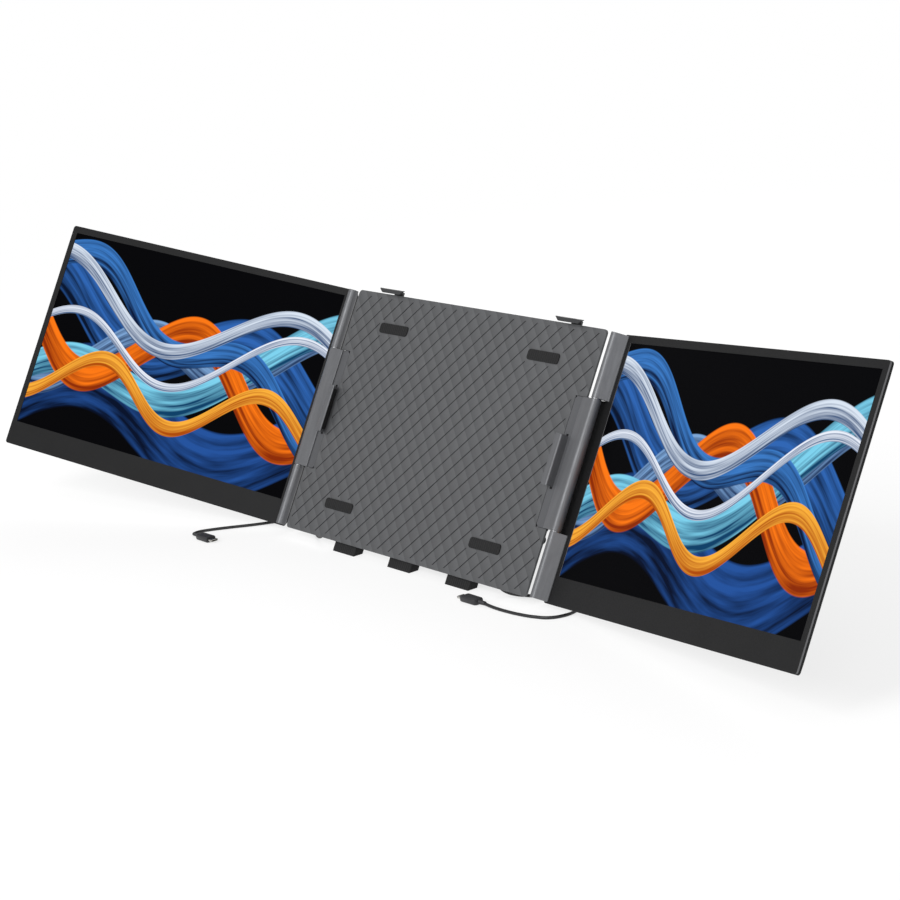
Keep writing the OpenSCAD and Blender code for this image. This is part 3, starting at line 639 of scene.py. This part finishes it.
@dataclass(frozen=True)
class LitPicture:
    """The lit picture under anti-glare glass: flowing ribbons of blue, pale and orange on black."""

    name: str = "lit_picture"
    slot: str = "screen_glass"
    glow: float = 1.0
    aspect: float = 382 / 215
    black: str = "#020203"
    glass: str = "#030304"
    gloss: Pair = (0.34, 0.42)
    sparkle: float = 150.0
    specular: float = 0.01
    strand_run: float = 0.9
    strand_pitch: float = 1.5
    strand_scale: float = 2.4
    fold: float = 0.17
    edge: Pair = (1.0, 0.93)
    tones: Pair = (0.24, 0.72)
    ribbons: tuple[Ribbon, ...] = (
        Ribbon("#04102a", "#24539e", 0.10, 0.10, 0.18, 1.90, 0.4, 0.170),
        Ribbon("#04122c", "#2f66b4", 0.70, -0.14, 0.15, 1.50, 2.2, 0.120),
        Ribbon("#0c2450", "#7da6d6", 0.34, 0.20, 0.12, 1.20, 4.4, 0.075),
        Ribbon("#0a4068", "#7fd4f0", 0.18, 0.28, 0.15, 1.70, 1.1, 0.080),
        Ribbon("#8e2c02", "#ff7a12", 0.52, -0.06, 0.19, 1.35, 3.3, 0.085),
        Ribbon("#06163a", "#3c7cc8", 0.88, -0.30, 0.10, 1.10, 0.2, 0.065),
        Ribbon("#b04a04", "#ffb43c", 0.28, 0.02, 0.13, 1.05, 5.2, 0.040),
        Ribbon("#34507a", "#dce7f5", 0.74, -0.05, 0.17, 1.60, 1.7, 0.040),
        Ribbon("#4a668e", "#eef4ff", 0.45, 0.08, 0.16, 1.45, 0.9, 0.022),
    )

    def build(self) -> Material:
        """Makes the material.

        Returns:
            A dark glass material that glows with the picture, on the piece's UV map.
        """
        material, tree, shader = new_material(self.name)
        uv = add_node(tree, "ShaderNodeUVMap", uv_map="picture").outputs[0]
        place = add_node(
            tree, "ShaderNodeMapping", {"Vector": uv, "Scale": (self.aspect, 1.0, 1.0)}
        ).outputs[0]
        picture: Any = linear(self.black)
        for number, ribbon in enumerate(self.ribbons):
            picture = self.lay(tree, ribbon, number, place, picture)
        tree.links.new(picture, shader.inputs["Emission Color"])
        shader.inputs["Emission Strength"].default_value = self.glow
        shader.inputs["Base Color"].default_value = linear(self.glass)
        # Anti-glare film scatters what it reflects, so the black stays deep from the front.
        grit = noise(tree, place, self.sparkle, 1.0)
        tree.links.new(remap(tree, grit, target=self.gloss), shader.inputs["Roughness"])
        shader.inputs["Specular IOR Level"].default_value = self.specular
        return material

    def lay(
        self,
        tree: Tree,
        ribbon: Ribbon,
        number: int,
        place: Socket,
        below: Any,
    ) -> Socket:
        """Lays one smooth ribbon, lit along one edge, over what is painted so far.

        Args:
            tree: The material's node tree.
            ribbon: The ribbon's colours and course.
            number: Its place in the order, so that no two share their strands.
            place: Place in the picture, in heights from its lower left corner.
            below: What is painted so far, a socket or a plain colour.

        Returns:
            The socket that carries the picture with this ribbon on top.
        """
        axes = add_node(tree, "ShaderNodeSeparateXYZ", {"Vector": place})
        across, up = axes.outputs["X"], axes.outputs["Y"]
        angle = calc(tree, "MULTIPLY_ADD", across, math.tau / ribbon.length, ribbon.phase)
        swing = calc(tree, "MULTIPLY_ADD", calc(tree, "SINE", angle), ribbon.wave, ribbon.start)
        middle = calc(tree, "MULTIPLY_ADD", across, ribbon.slope, swing)
        offset = calc(tree, "DIVIDE", calc(tree, "SUBTRACT", up, middle), ribbon.width)
        along = calc(tree, "MULTIPLY_ADD", across, self.strand_run, float(number))
        beside = calc(tree, "MULTIPLY", offset, self.strand_pitch)
        course = add_node(tree, "ShaderNodeCombineXYZ", {"X": along, "Y": beside}).outputs[0]
        strand = noise(tree, course, self.strand_scale, 3.0, "2D")
        tone = calc(tree, "MULTIPLY_ADD", offset, self.fold, strand)
        paint = shade(tree, tone, (linear(ribbon.dark), linear(ribbon.light)), self.tones)
        cover = remap(tree, calc(tree, "ABSOLUTE", offset), self.edge)
        return blend(tree, cover, below, paint)


PICTURE = LitPicture()


# ---------------------------------------------------------------- frames and meshes


@dataclass(frozen=True)
class Frame:
    """A flat frame in space: X across, Y to the back and Z up the lean, in millimetres."""

    origin: Vector
    across: Vector
    back: Vector
    up: Vector

    def at(self, x: float, y: float, z: float) -> Vector:
        """Finds a point of this frame in space.

        Args:
            x: Millimetres across.
            y: Millimetres to the back.
            z: Millimetres up.

        Returns:
            The point in metres.
        """
        return self.origin + (self.across * x + self.back * y + self.up * z) * MM


def joint(name: str) -> dict[str, Any]:
    """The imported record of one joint.

    Args:
        name: The joint's name.

    Returns:
        Its entry, with axis, place and range.
    """
    return next(j for j in frame["joints"] if j["name"] == name)


@dataclass(frozen=True)
class Layout:
    """The frames that the pieces are drawn in, worked out from the two screen hinges."""

    plate_h: float = 248.0
    axis_depth: float = 1.1

    def hinge(self, side: Side) -> dict[str, Any]:
        """Looks up a screen hinge.

        Args:
            side: Its side.

        Returns:
            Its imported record.
        """
        return joint(f"{side.label}_swing")

    def centre(self) -> Frame:
        """Works out the centre unit's frame.

        Returns:
            The frame, from the middle of the plate's lower front edge.
        """
        up = Vector(self.hinge(Side.RIGHT)["axis"])
        across = Vector((1, 0, 0))
        back = up.cross(across)
        middle = sum((Vector(self.hinge(s)["pos_m"]) for s in Side), Vector()) / 2
        foot = middle - (back * self.axis_depth + up * self.plate_h / 2) * MM
        return Frame(foot, across, back, up)

    def screen(self, side: Side) -> Frame:
        """Works out a screen's frame.

        Args:
            side: The screen's side.

        Returns:
            The frame, whose X runs outwards from the foot of the hinge axis.
        """
        flat = self.centre()
        low, high = self.hinge(side)["range_deg"]
        swing = math.radians(-low if side is Side.LEFT else high)
        out = flat.across * side.value
        across = out * math.cos(swing) - flat.back * math.sin(swing)
        back = out * math.sin(swing) + flat.back * math.cos(swing)
        foot = Vector(self.hinge(side)["pos_m"]) - flat.up * self.plate_h / 2 * MM
        return Frame(foot, across, back, flat.up)


LAYOUT = Layout()


def smooth(mesh: Mesh) -> None:
    """Shades a mesh smooth, apart from its sharp edges.

    Args:
        mesh: The mesh.
    """
    mesh.shade_smooth()
    mesh.set_sharp_from_angle(angle=SHARP)


def stand(name: str, data: Any) -> Object:
    """Stands an object in the scene.

    Args:
        name: Its name.
        data: Its mesh, curve, lamp or camera.

    Returns:
        The new object.
    """
    made = bpy.data.objects.new(name, data)
    bpy.context.scene.collection.objects.link(made)
    return made


def settle(mesh: Mesh) -> None:
    """Turns a closed mesh's faces outwards and shades it.

    Args:
        mesh: The mesh to finish.
    """
    work = bmesh.new()
    work.from_mesh(mesh)
    bmesh.ops.recalc_face_normals(work, faces=work.faces)
    work.to_mesh(mesh)
    work.free()
    smooth(mesh)


def piece(
    name: str,
    points: Sequence[Vector],
    faces: Sequence[Sequence[int]],
    body: str,
    material: Material,
) -> Object:
    """Makes a piece from points in space and its faces.

    Args:
        name: The piece's name.
        points: Corners in metres.
        faces: Corner numbers of each face.
        body: The moving body that carries it.
        material: Its finish.

    Returns:
        The new object.
    """
    mesh = bpy.data.meshes.new(name)
    mesh.from_pydata([tuple(p) for p in points], [], [tuple(f) for f in faces])
    settle(mesh)
    mesh.materials.append(material)
    made = stand(name, mesh)
    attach(made, body)
    return made


def soften(made: Object, width_mm: float) -> None:
    """Rounds a piece's sharp edges.

    Args:
        made: The piece.
        width_mm: Width of the round.
    """
    bevel = made.modifiers.new("edge_round", "BEVEL")
    bevel.width = width_mm * MM
    bevel.segments = 2
    bevel.limit_method = "ANGLE"
    bevel.angle_limit = SHARP
    bevel.harden_normals = True
    bevel.use_clamp_overlap = True


def loft(rings: Sequence[Sequence[Vector]]) -> tuple[list[Vector], list[tuple[int, ...]]]:
    """Joins rings of equal count into a closed skin with flat ends.

    Args:
        rings: Rings of points, one after another.

    Returns:
        The points, and the faces that join them.
    """
    count = len(rings[0])
    points = [p for ring in rings for p in ring]
    faces: list[tuple[int, ...]] = []
    for start in range(0, len(points) - count, count):
        for k in range(count):
            turn = (k + 1) % count
            faces.append((start + k, start + turn, start + count + turn, start + count + k))
    faces.append(tuple(reversed(range(count))))
    faces.append(tuple(range(len(points) - count, len(points))))
    return points, faces


def rounded_ring(half_w: float, half_t: float, power: float) -> list[Pair]:
    """A rounded rectangle as a superellipse.

    Args:
        half_w: Half its width.
        half_t: Half its thickness.
        power: 2 for an ellipse, more for squarer corners.

    Returns:
        The ring's points.
    """

    def reach(half: float, share: float) -> float:
        return half * math.copysign(abs(share) ** (2 / power), share)

    turns = [math.tau * k / RING_POINTS for k in range(RING_POINTS)]
    return [(reach(half_w, math.cos(turn)), reach(half_t, math.sin(turn))) for turn in turns]


def wear(node: str, material: Material) -> None:
    """Gives a solid of the frame its finish.

    Args:
        node: The solid's name.
        material: Its finish.
    """
    solid = frame["nodes"][node]
    solid.data.materials.clear()
    solid.data.materials.append(material)
    smooth(solid.data)


def refine(node: str, material: Material, edge_mm: float) -> None:
    """Stands a copy with rounded edges in place of a solid.

    Args:
        node: The solid's name.
        material: Its finish.
        edge_mm: Width of the rounded edges.
    """
    solid = frame["nodes"][node]
    work = bmesh.new()
    work.from_mesh(solid.data)
    bmesh.ops.remove_doubles(work, verts=work.verts, dist=WELD_MM * MM)
    bmesh.ops.dissolve_limit(work, angle_limit=FLAT, verts=work.verts, edges=work.edges)
    mesh = bpy.data.meshes.new(f"{node}_refined")
    work.to_mesh(mesh)
    work.free()
    smooth(mesh)
    mesh.materials.append(material)
    made = stand(f"{node}_refined", mesh)
    soften(made, edge_mm)
    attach(made, solid["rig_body"])
    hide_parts(node)


class Palette:
    """Every material, made once and handed out by finish."""

    def __init__(self) -> None:
        """Starts with nothing made."""
        self.made: dict[str, Material] = {}

    def get(self, finish: Finish | LitPicture) -> Material:
        """Hands out a material.

        Args:
            finish: The finish or picture that it carries.

        Returns:
            The material, made on first use.
        """
        if finish.name not in self.made:
            self.made[finish.name] = finish.build()
        return self.made[finish.name]


@dataclass
class SubAssembly:
    """A group of pieces that is built and dressed together."""

    palette: Palette

    def build(self) -> list[str]:
        """Makes and dresses the pieces, and returns their names."""
        raise NotImplementedError

    def dress(self, node: str, finish: Finish, edge_mm: float = 0.0) -> str:
        """Finishes one solid, with rounded edges if a width is given.

        Args:
            node: The solid's name.
            finish: What it is made of.
            edge_mm: Width of its rounded edges, or 0 to keep it as it is.

        Returns:
            The solid's name.
        """
        material = self.palette.get(finish)
        if edge_mm > 0:
            refine(node, material, edge_mm)
        else:
            wear(node, material)
        return node


# ---------------------------------------------------------------- the centre unit


@dataclass
class CentreUnit(SubAssembly):
    """Plate, rear housing and what they hold."""

    plate_edge: float = 0.5
    housing_edge: float = 0.8

    def build(self) -> list[str]:
        """Dresses the plate, the housing, its screws, pads, feet and inner pieces."""
        return [
            self.dress("centre_plate", PLATE_ALUMINIUM, self.plate_edge),
            self.dress("rear_housing", HOUSING_PLASTIC, self.housing_edge),
            self.dress("housing_screws", BLACK_OXIDE, 0.2),
            self.dress("lid_pads", PAD_RUBBER, 0.3),
            self.dress("base_feet", PAD_RUBBER, 0.5),
            self.dress("guide_rods", TURNED_STEEL),
            self.dress("hub_board", SOLDER_MASK),
            self.dress("cable_sockets", NICKEL),
        ]


@dataclass
class Kickstand(SubAssembly):
    """The leg that props the unit up."""

    def build(self) -> list[str]:
        """Dresses the pin, the leg and its foot."""
        return [
            self.dress("kickstand_pin", TURNED_STEEL, 0.3),
            self.dress("kickstand_leg", BRUSHED_LEG, 0.6),
            self.dress("kickstand_foot", PAD_RUBBER, 0.4),
        ]


@dataclass
class SideArm(SubAssembly):
    """Top clip, slider, side hook and hinge cover of one side."""

    side: Side = Side.RIGHT

    def build(self) -> list[str]:
        """Dresses the side's clip, slider, hook and hinge."""
        name = self.side.label
        return [
            self.dress(f"{name}_top_clip", CLIP_PLASTIC, 0.4),
            self.dress(f"{name}_slider", SLIDER_ALUMINIUM, 0.4),
            self.dress(f"{name}_side_hook", HINGE_ALUMINIUM, 0.35),
            self.dress(f"{name}_hook_pad", PAD_RUBBER, 0.3),
            self.dress(f"{name}_hinge_cover", HINGE_ALUMINIUM, 0.45),
            self.dress(f"{name}_hinge_pin", TURNED_STEEL),
            self.dress(f"{name}_washers", WASHER_STEEL, 0.15),
        ]


# ---------------------------------------------------------------- the screens


@dataclass
class Screen(SubAssembly):
    """One side screen with its knuckles, covers, glass and buttons."""

    side: Side = Side.RIGHT
    gap: float = 2.5
    bezel_hinge: float = 12.8
    bezel_chin: float = 25.4
    view: Pair = (382.0, 215.0)
    margin: float = 1.3
    face: float = 7.8
    recess: float = 0.6
    glass_t: float = 1.2
    guard_w: float = 7.8
    felt_t: float = 1.4
    slip: float = 0.3
    seam: float = 1.0
    knuckle_inset: float = 1.3
    knuckle_len: float = 60.7
    height: float = 247.7

    def build(self) -> list[str]:
        """Dresses the solids and makes the display and the seam strips."""
        name = self.side.label
        self.display()
        return self.seam_strips() + [
            self.dress(f"{name}_bezel", BEZEL_ABS, 0.35),
            self.dress(f"{name}_rear_cover", COVER_ABS, 0.5),
            self.dress(f"{name}_upper_knuckle", HINGE_ALUMINIUM, 0.4),
            self.dress(f"{name}_lower_knuckle", HINGE_ALUMINIUM, 0.4),
            self.dress(f"{name}_knuckle_plates", TURNED_STEEL),
            self.dress(f"{name}_knuckle_screws", BLACK_OXIDE),
            self.dress(f"{name}_cover_screws", BLACK_OXIDE, 0.12),
            self.dress(f"{name}_picture_module", FILM),
            self.dress(f"{name}_control_board", SOLDER_MASK),
            self.dress(f"{name}_speakers", COVER_ABS),
            self.dress(f"{name}_power_button", COVER_ABS, 0.3),
            self.dress(f"{name}_menu_button", COVER_ABS, 0.3),
            f"{name}_display",
        ]

    def seam_strips(self) -> list[str]:
        """Makes the near-black strips, a painted shade, that close the seams between the bezel's
        lip and the knuckles.

        Returns:
            The strips' names.
        """
        place = LAYOUT.screen(self.side)
        reach = self.knuckle_inset + self.knuckle_len
        wide = self.seam + self.slip
        xs = (self.gap - self.guard_w + self.slip, self.gap)
        ys = (self.face + self.slip, self.face + self.felt_t)
        names = []
        for level, low in (("lower", reach), ("upper", self.height - reach - wide)):
            name = f"{self.side.label}_{level}_seam_strip"
            ring = [(xs[0], ys[0]), (xs[1], ys[0]), (xs[1], ys[1]), (xs[0], ys[1])]
            rings = [[place.at(x, y, z) for x, y in ring] for z in (low, low + wide)]
            points, faces = loft(rings)
            # The strips are near black: a painted shade in the seams.
            body, seam_shade_material = f"{self.side.label}_screen", self.palette.get(SEAM_SHADE_BLACK)
            made = piece(name, points, faces, body, seam_shade_material)
            soften(made, self.slip / 2)
            names.append(name)
        return names

    def display(self) -> None:
        """Makes the front glass, which stands for the glass solid and carries the picture."""
        place = LAYOUT.screen(self.side)
        x0 = self.gap + self.bezel_hinge
        width, height = self.view
        xs = (x0 - self.margin, x0, x0 + width, x0 + width + self.margin)
        zs = (
            self.bezel_chin - self.margin,
            self.bezel_chin,
            self.bezel_chin + height,
            self.bezel_chin + height + self.margin,
        )
        front, rear = self.face + self.recess, self.face + self.recess + self.glass_t
        points = [place.at(x, front, z) for z in zs for x in xs]
        points += [place.at(x, rear, z) for z in (zs[0], zs[3]) for x in (xs[0], xs[3])]
        # Nine faces in front, and one for the back and each side: corners 0 to 15 are the front's.
        starts = [row * 4 + column for row in range(3) for column in range(3)]
        faces: list[tuple[int, ...]] = [(k, k + 1, k + 5, k + 4) for k in starts]
        faces += [
            (16, 17, 19, 18),
            (0, 1, 2, 3, 17, 16),
            (12, 13, 14, 15, 19, 18),
            (0, 4, 8, 12, 18, 16),
            (3, 7, 11, 15, 19, 17),
        ]
        name, glass = self.side.label, self.palette.get(PICTURE)
        made = piece(f"{name}_display", points, faces, f"{name}_screen", glass)
        self.map_picture(made, place, x0)
        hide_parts(f"{name}_glass")

    def map_picture(self, made: Object, place: Frame, x0: float) -> None:
        """Maps the picture's corners to 0 and 1, the right way round on both sides.

        Args:
            made: The display.
            place: The screen's frame.
            x0: Where the picture starts.
        """
        layer = made.data.uv_layers.new(name="picture")
        width, height = self.view
        for loop in made.data.loops:
            offset = (made.data.vertices[loop.vertex_index].co - place.origin) / MM
            u = (offset.dot(place.across) - x0) / width
            v = (offset.dot(place.up) - self.bezel_chin) / height
            layer.data[loop.index].uv = (u if self.side is Side.RIGHT else 1 - u, v)


# ---------------------------------------------------------------- cables


@dataclass
class Cable(SubAssembly):
    """A lead from the housing's socket to a loose plug on the desk."""

    side: Side = Side.RIGHT
    route: tuple[Triple, ...] = ()
    plug_heading: Vector = field(default_factory=lambda: Vector((-1, 0, 0)))
    diameter: float = 3.0
    sink: float = 0.5
    relief_len: float = 9.0
    relief_r: float = 2.2
    ribs: int = 5
    # Each rib of the relief: how far along its pitch, and its share of the radius.
    rib_steps: tuple[Pair, ...] = ((0.0, 0.86), (0.3, 1.0), (0.7, 1.0), (0.9, 0.86))
    # The plug's body: distance from its rear or its front, share of its width and of its
    # thickness, and squareness.
    rear_steps: tuple[Step, ...] = ((0.05, 0.62, 0.8, 3), (0.9, 0.9, 0.95, 3.6), (2.4, 1.0, 1.0, 4))
    front_steps: tuple[Step, ...] = (
        (1.0, 1.0, 1.0, 4.5), (0.2, 0.965, 0.93, 4.5), (0.0, 0.92, 0.86, 4.5),
    )
    plug_w: float = 11.0
    plug_t: float = 6.0
    plug_len: float = 22.0
    shell_w: float = 8.2
    shell_t: float = 2.35
    shell_len: float = 6.4
    shell_power: float = 5

    def build(self) -> list[str]:
        """Returns:
            The names of the solids that they stand for.
        """
        name = self.side.label
        start, end = Vector(self.route[0]), Vector(self.route[-1])
        flat = LAYOUT.centre()
        inner = self.plug(
            f"{name}_hub_plug", (start - flat.up * self.sink) * MM, flat.up, flat.across
        )
        lift = Vector((end.x, end.y, self.plug_t / 2)) - self.plug_heading * self.sink
        outer = self.plug(f"{name}_free_plug", lift * MM, self.plug_heading, Vector((0, 1, 0)))
        self.lead(name, [inner, outer])
        return [f"{name}_cable", f"{name}_hub_plug", f"{name}_free_plug"]

    def lead(self, name: str, plugs: list[Object]) -> None:
        """Makes the cable along its route.

        Args:
            name: The side's name.
            plugs: The pieces on its ends; not used.
        """
        curve = bpy.data.curves.new(f"{name}_lead", "CURVE")
        curve.dimensions = "3D"
        curve.resolution_u = 6
        curve.bevel_depth = self.diameter / 2 * MM
        curve.bevel_resolution = 5
        curve.use_fill_caps = True
        line = curve.splines.new("BEZIER")
        line.bezier_points.add(len(self.route) - 1)
        for knot, point in zip(line.bezier_points, self.route):
            knot.co = Vector(point) * MM
            knot.handle_left_type = knot.handle_right_type = "AUTO"
        curve.materials.append(self.palette.get(CABLE_PVC))
        made = stand(f"{name}_lead", curve)
        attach(made, "centre_unit")
        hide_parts(f"{name}_cable")

    def plug(self, node: str, start: Vector, along: Vector, wide: Vector) -> Object:
        """Makes one plug: ribbed relief, rounded body and metal shell.

        Args:
            node: The solid that it stands for.
            start: Where the cable enters it, in metres.
            along: Direction from the cable to the plug's tip.
            wide: Direction of the plug's width.

        Returns:
            The plug's body.
        """
        thin = along.cross(wide)

        def ring(d: float, half_w: float, half_t: float, power: float) -> list[Vector]:
            return [
                start + (along * d + wide * a + thin * b) * MM
                for a, b in rounded_ring(half_w, half_t, power)
            ]

        rings = []
        pitch = self.relief_len / self.ribs
        for k in range(self.ribs):
            # The relief widens a little from rib to rib.
            r = self.relief_r * (0.86 + 0.14 * k / (self.ribs - 1))
            rings += [ring((k + d) * pitch, r * g, r * g, 2) for d, g in self.rib_steps]
        low, high = self.relief_len, self.relief_len + self.plug_len
        w, t = self.plug_w / 2, self.plug_t / 2
        rings += [ring(low + d, w * a, t * b, power) for d, a, b, power in self.rear_steps]
        rings += [ring(high - d, w * a, t * b, power) for d, a, b, power in self.front_steps]
        points, faces = loft(rings)
        plastic, metal = self.palette.get(PLUG_TPE), self.palette.get(NICKEL)
        body = piece(f"{node}_body", points, faces, "centre_unit", plastic)
        # The shell: distance past the body's front and inset, out along it and back inside.
        shell_steps = (
            (-0.1, 0.0), (self.shell_len - 0.3, 0.0), (self.shell_len, 0.3),
            (self.shell_len - 0.05, 0.45), (0.6, 0.45),
        )
        w, t = self.shell_w / 2, self.shell_t / 2
        points, faces = loft(
            [ring(high + d, w - inset, t - inset, self.shell_power) for d, inset in shell_steps]
        )
        piece(f"{node}_shell", points, faces, "centre_unit", metal)
        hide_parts(node)
        return body


LEFT_ROUTE = (
    (-140, 7.92, 14.11), (-140.3, 6.62, 11.51), (-142, 6.22, 8.6), (-146, 6.82, 5.41),
    (-152.5, 8.42, 2.9), (-161, 11.52, 1.6), (-173, 17.02, 1.5), (-188, 23.02, 1.5),
    (-204, 27.02, 1.5), (-220, 28.02, 1.5), (-234, 24.02, 1.5), (-244.5, 15.02, 1.5),
    (-251, 4.02, 1.5), (-258, -6.98, 1.5), (-266, -17.98, 1.5), (-274, -29.48, 1.5),
    (-281, -40.98, 1.5), (-285, -49.98, 1.5), (-284.5, -55.98, 1.6), (-281, -59.58, 2.1),
    (-276, -60.58, 2.6),
)
RIGHT_ROUTE = (
    (140, 7.92, 14.11), (140.3, 6.62, 11.51), (142, 6.22, 8.6), (146, 6.82, 5.41),
    (152.5, 8.42, 2.9), (161, 11.52, 1.6), (172, 16.02, 1.5), (186, 21.52, 1.5),
    (201, 26.02, 1.5), (216, 28.02, 1.5), (230, 25.52, 1.5), (240, 18.52, 1.5),
    (244, 8.52, 1.5), (243.5, -1.98, 1.5), (237.5, -11.98, 1.5), (225, -17.98, 1.5),
    (208.6, -21.68, 1.5), (190, -23.38, 1.5), (173, -23.78, 1.8), (160.5, -23.58, 2.6),
)


# ---------------------------------------------------------------- camera and studio


@dataclass(frozen=True)
class Camera:
    """The photograph's viewpoint, in metres and degrees."""

    place: Triple = (2.0640, -1.3676, 0.7479)
    heading: float = 55.15
    tilt: float = 14.47
    roll: float = -6.6
    lens: float = 109.96
    sensor: float = 36.0

    def build(self) -> None:
        """Makes the camera and looks through it."""
        data = bpy.data.cameras.new("camera")
        data.lens = self.lens
        data.sensor_width = self.sensor
        data.clip_end = 50
        made = stand("camera", data)
        turn = (
            Matrix.Rotation(math.radians(self.heading), 4, "Z")
            @ Matrix.Rotation(math.radians(90 - self.tilt), 4, "X")
            @ Matrix.Rotation(math.radians(self.roll), 4, "Z")
        )
        made.matrix_world = Matrix.Translation(self.place) @ turn
        bpy.context.scene.camera = made


@dataclass(frozen=True)
class Softbox:
    """One large square lamp that faces a point of the unit."""

    name: str
    place: Triple
    aim: Triple
    size: float
    watts: float

    def build(self) -> None:
        """Hangs the lamp."""
        data = bpy.data.lights.new(self.name, "AREA")
        data.size = self.size
        data.energy = self.watts
        made = stand(self.name, data)
        made.location = self.place
        facing = Vector(self.aim) - Vector(self.place)
        made.rotation_euler = facing.to_track_quat("-Z", "Y").to_euler()


@dataclass(frozen=True)
class Studio:
    """Plain pale floor under plain soft light."""

    floor_rings: tuple[float, ...] = (1.4, 5.6, 14.0)
    floor_points: int = 48
    paper: tuple[str, str] = ("#fbfbfb", "#ffffff")
    sky: float = 0.55
    shadow_share: float = 0.3
    shadow_reach: Pair = (0.75, 2.0)
    lamps: tuple[Softbox, ...] = (
        Softbox("key_softbox", (0.1, -2.5, 2.0), (-0.1, 0, 0.1), 1.6, 60),
        Softbox("fill_softbox", (2.3, -1.7, 1.5), (-0.2, 0, 0.1), 1.4, 13),
        Softbox("back_softbox", (-1.6, 1.9, 1.6), (0, 0, 0.1), 1.6, 34),
    )

    def build(self) -> None:
        """Lays the floor, lights the world and hangs the lamps."""
        self.floor()
        self.world()
        for lamp in self.lamps:
            lamp.build()
        bpy.context.scene.view_settings.view_transform = "Standard"

    def floor(self) -> None:
        """Lays a wide round sheet of paper under the unit."""
        count = self.floor_points
        turns = [math.tau * k / count for k in range(count)]
        mesh = bpy.data.meshes.new("floor")
        work = bmesh.new()
        hub = work.verts.new((0, 0, 0))
        rings = [
            [work.verts.new((r * math.cos(turn), r * math.sin(turn), 0)) for turn in turns]
            for r in self.floor_rings
        ]
        for k in range(count):
            after = (k + 1) % count
            work.faces.new((hub, rings[0][k], rings[0][after]))
            for inner, outer in zip(rings, rings[1:]):
                work.faces.new((inner[k], outer[k], outer[after], inner[after]))
        work.to_mesh(mesh)
        work.free()
        mesh.materials.append(self.floor_material())
        stand("floor", mesh)

    def floor_material(self) -> Material:
        """Makes the paper: seen straight it is close to white, and it still takes shadows.

        Returns:
            The material.
        """
        material, tree, shader = new_material("studio_paper")
        tree.nodes.remove(shader)
        fibre = add_node(tree, "ShaderNodeTexNoise", {"Scale": per_metre(40.0), "Detail": 2.0})
        tone = shade(tree, fibre.outputs[0], [linear(colour) for colour in self.paper])
        paper = add_node(tree, "ShaderNodeBsdfDiffuse", {"Color": tone})
        glow = add_node(tree, "ShaderNodeEmission", {"Color": linear("#ffffff"), "Strength": 1.0})
        seen = add_node(tree, "ShaderNodeLightPath").outputs
        direct = calc(tree, "MAXIMUM", seen["Is Camera Ray"], seen["Is Glossy Ray"])
        # Round the unit the paper keeps its shadow, and further out it turns into plain white.
        place = add_node(tree, "ShaderNodeTexCoord").outputs["Object"]
        far = add_node(tree, "ShaderNodeVectorMath", {0: place}, operation="LENGTH")
        limits = (1 - self.shadow_share, 1.0)
        white = remap(tree, far.outputs["Value"], self.shadow_reach, limits, "SMOOTHSTEP")
        share = calc(tree, "MULTIPLY", direct, white)
        mix = add_node(
            tree, "ShaderNodeMixShader", {0: share, 1: paper.outputs[0], 2: glow.outputs[0]}
        )
        tree.links.new(mix.outputs[0], tree.nodes["Material Output"].inputs["Surface"])
        return material

    def world(self) -> None:
        """Fills the sky: a plain level that lights, and white where the camera sees it."""
        world = bpy.data.worlds.new("studio")
        bpy.context.scene.world = world
        world.use_nodes = True
        tree = world.node_tree
        tree.nodes.clear()
        light, white = (
            add_node(
                tree, "ShaderNodeBackground", {"Color": linear("#ffffff"), "Strength": strength}
            ).outputs[0]
            for strength in (self.sky, 1.0)
        )
        seen = add_node(tree, "ShaderNodeLightPath").outputs["Is Camera Ray"]
        mix = add_node(tree, "ShaderNodeMixShader", {0: seen, 1: light, 2: white})
        out = add_node(tree, "ShaderNodeOutputWorld")
        tree.links.new(mix.outputs[0], out.inputs["Surface"])


def main() -> None:
    """Builds the camera, the cables and each sub-assembly in turn."""
    logging.basicConfig(level=logging.INFO, format="%(name)s: %(message)s")
    palette = Palette()
    Camera().build()
    parts: list[SubAssembly] = [
        Cable(palette, Side.LEFT, LEFT_ROUTE, Vector((1, 0, 0))),
        Cable(palette, Side.RIGHT, RIGHT_ROUTE, Vector((-1, 0, 0))),
        CentreUnit(palette),
        Kickstand(palette),
    ]
    for side in Side:
        parts += [SideArm(palette, side), Screen(palette, side)]
    for part in parts:
        for name in part.build():
            log.info("%s: %s", type(part).__name__, name)
    Studio().build()


if __name__ == "__main__":
    main()
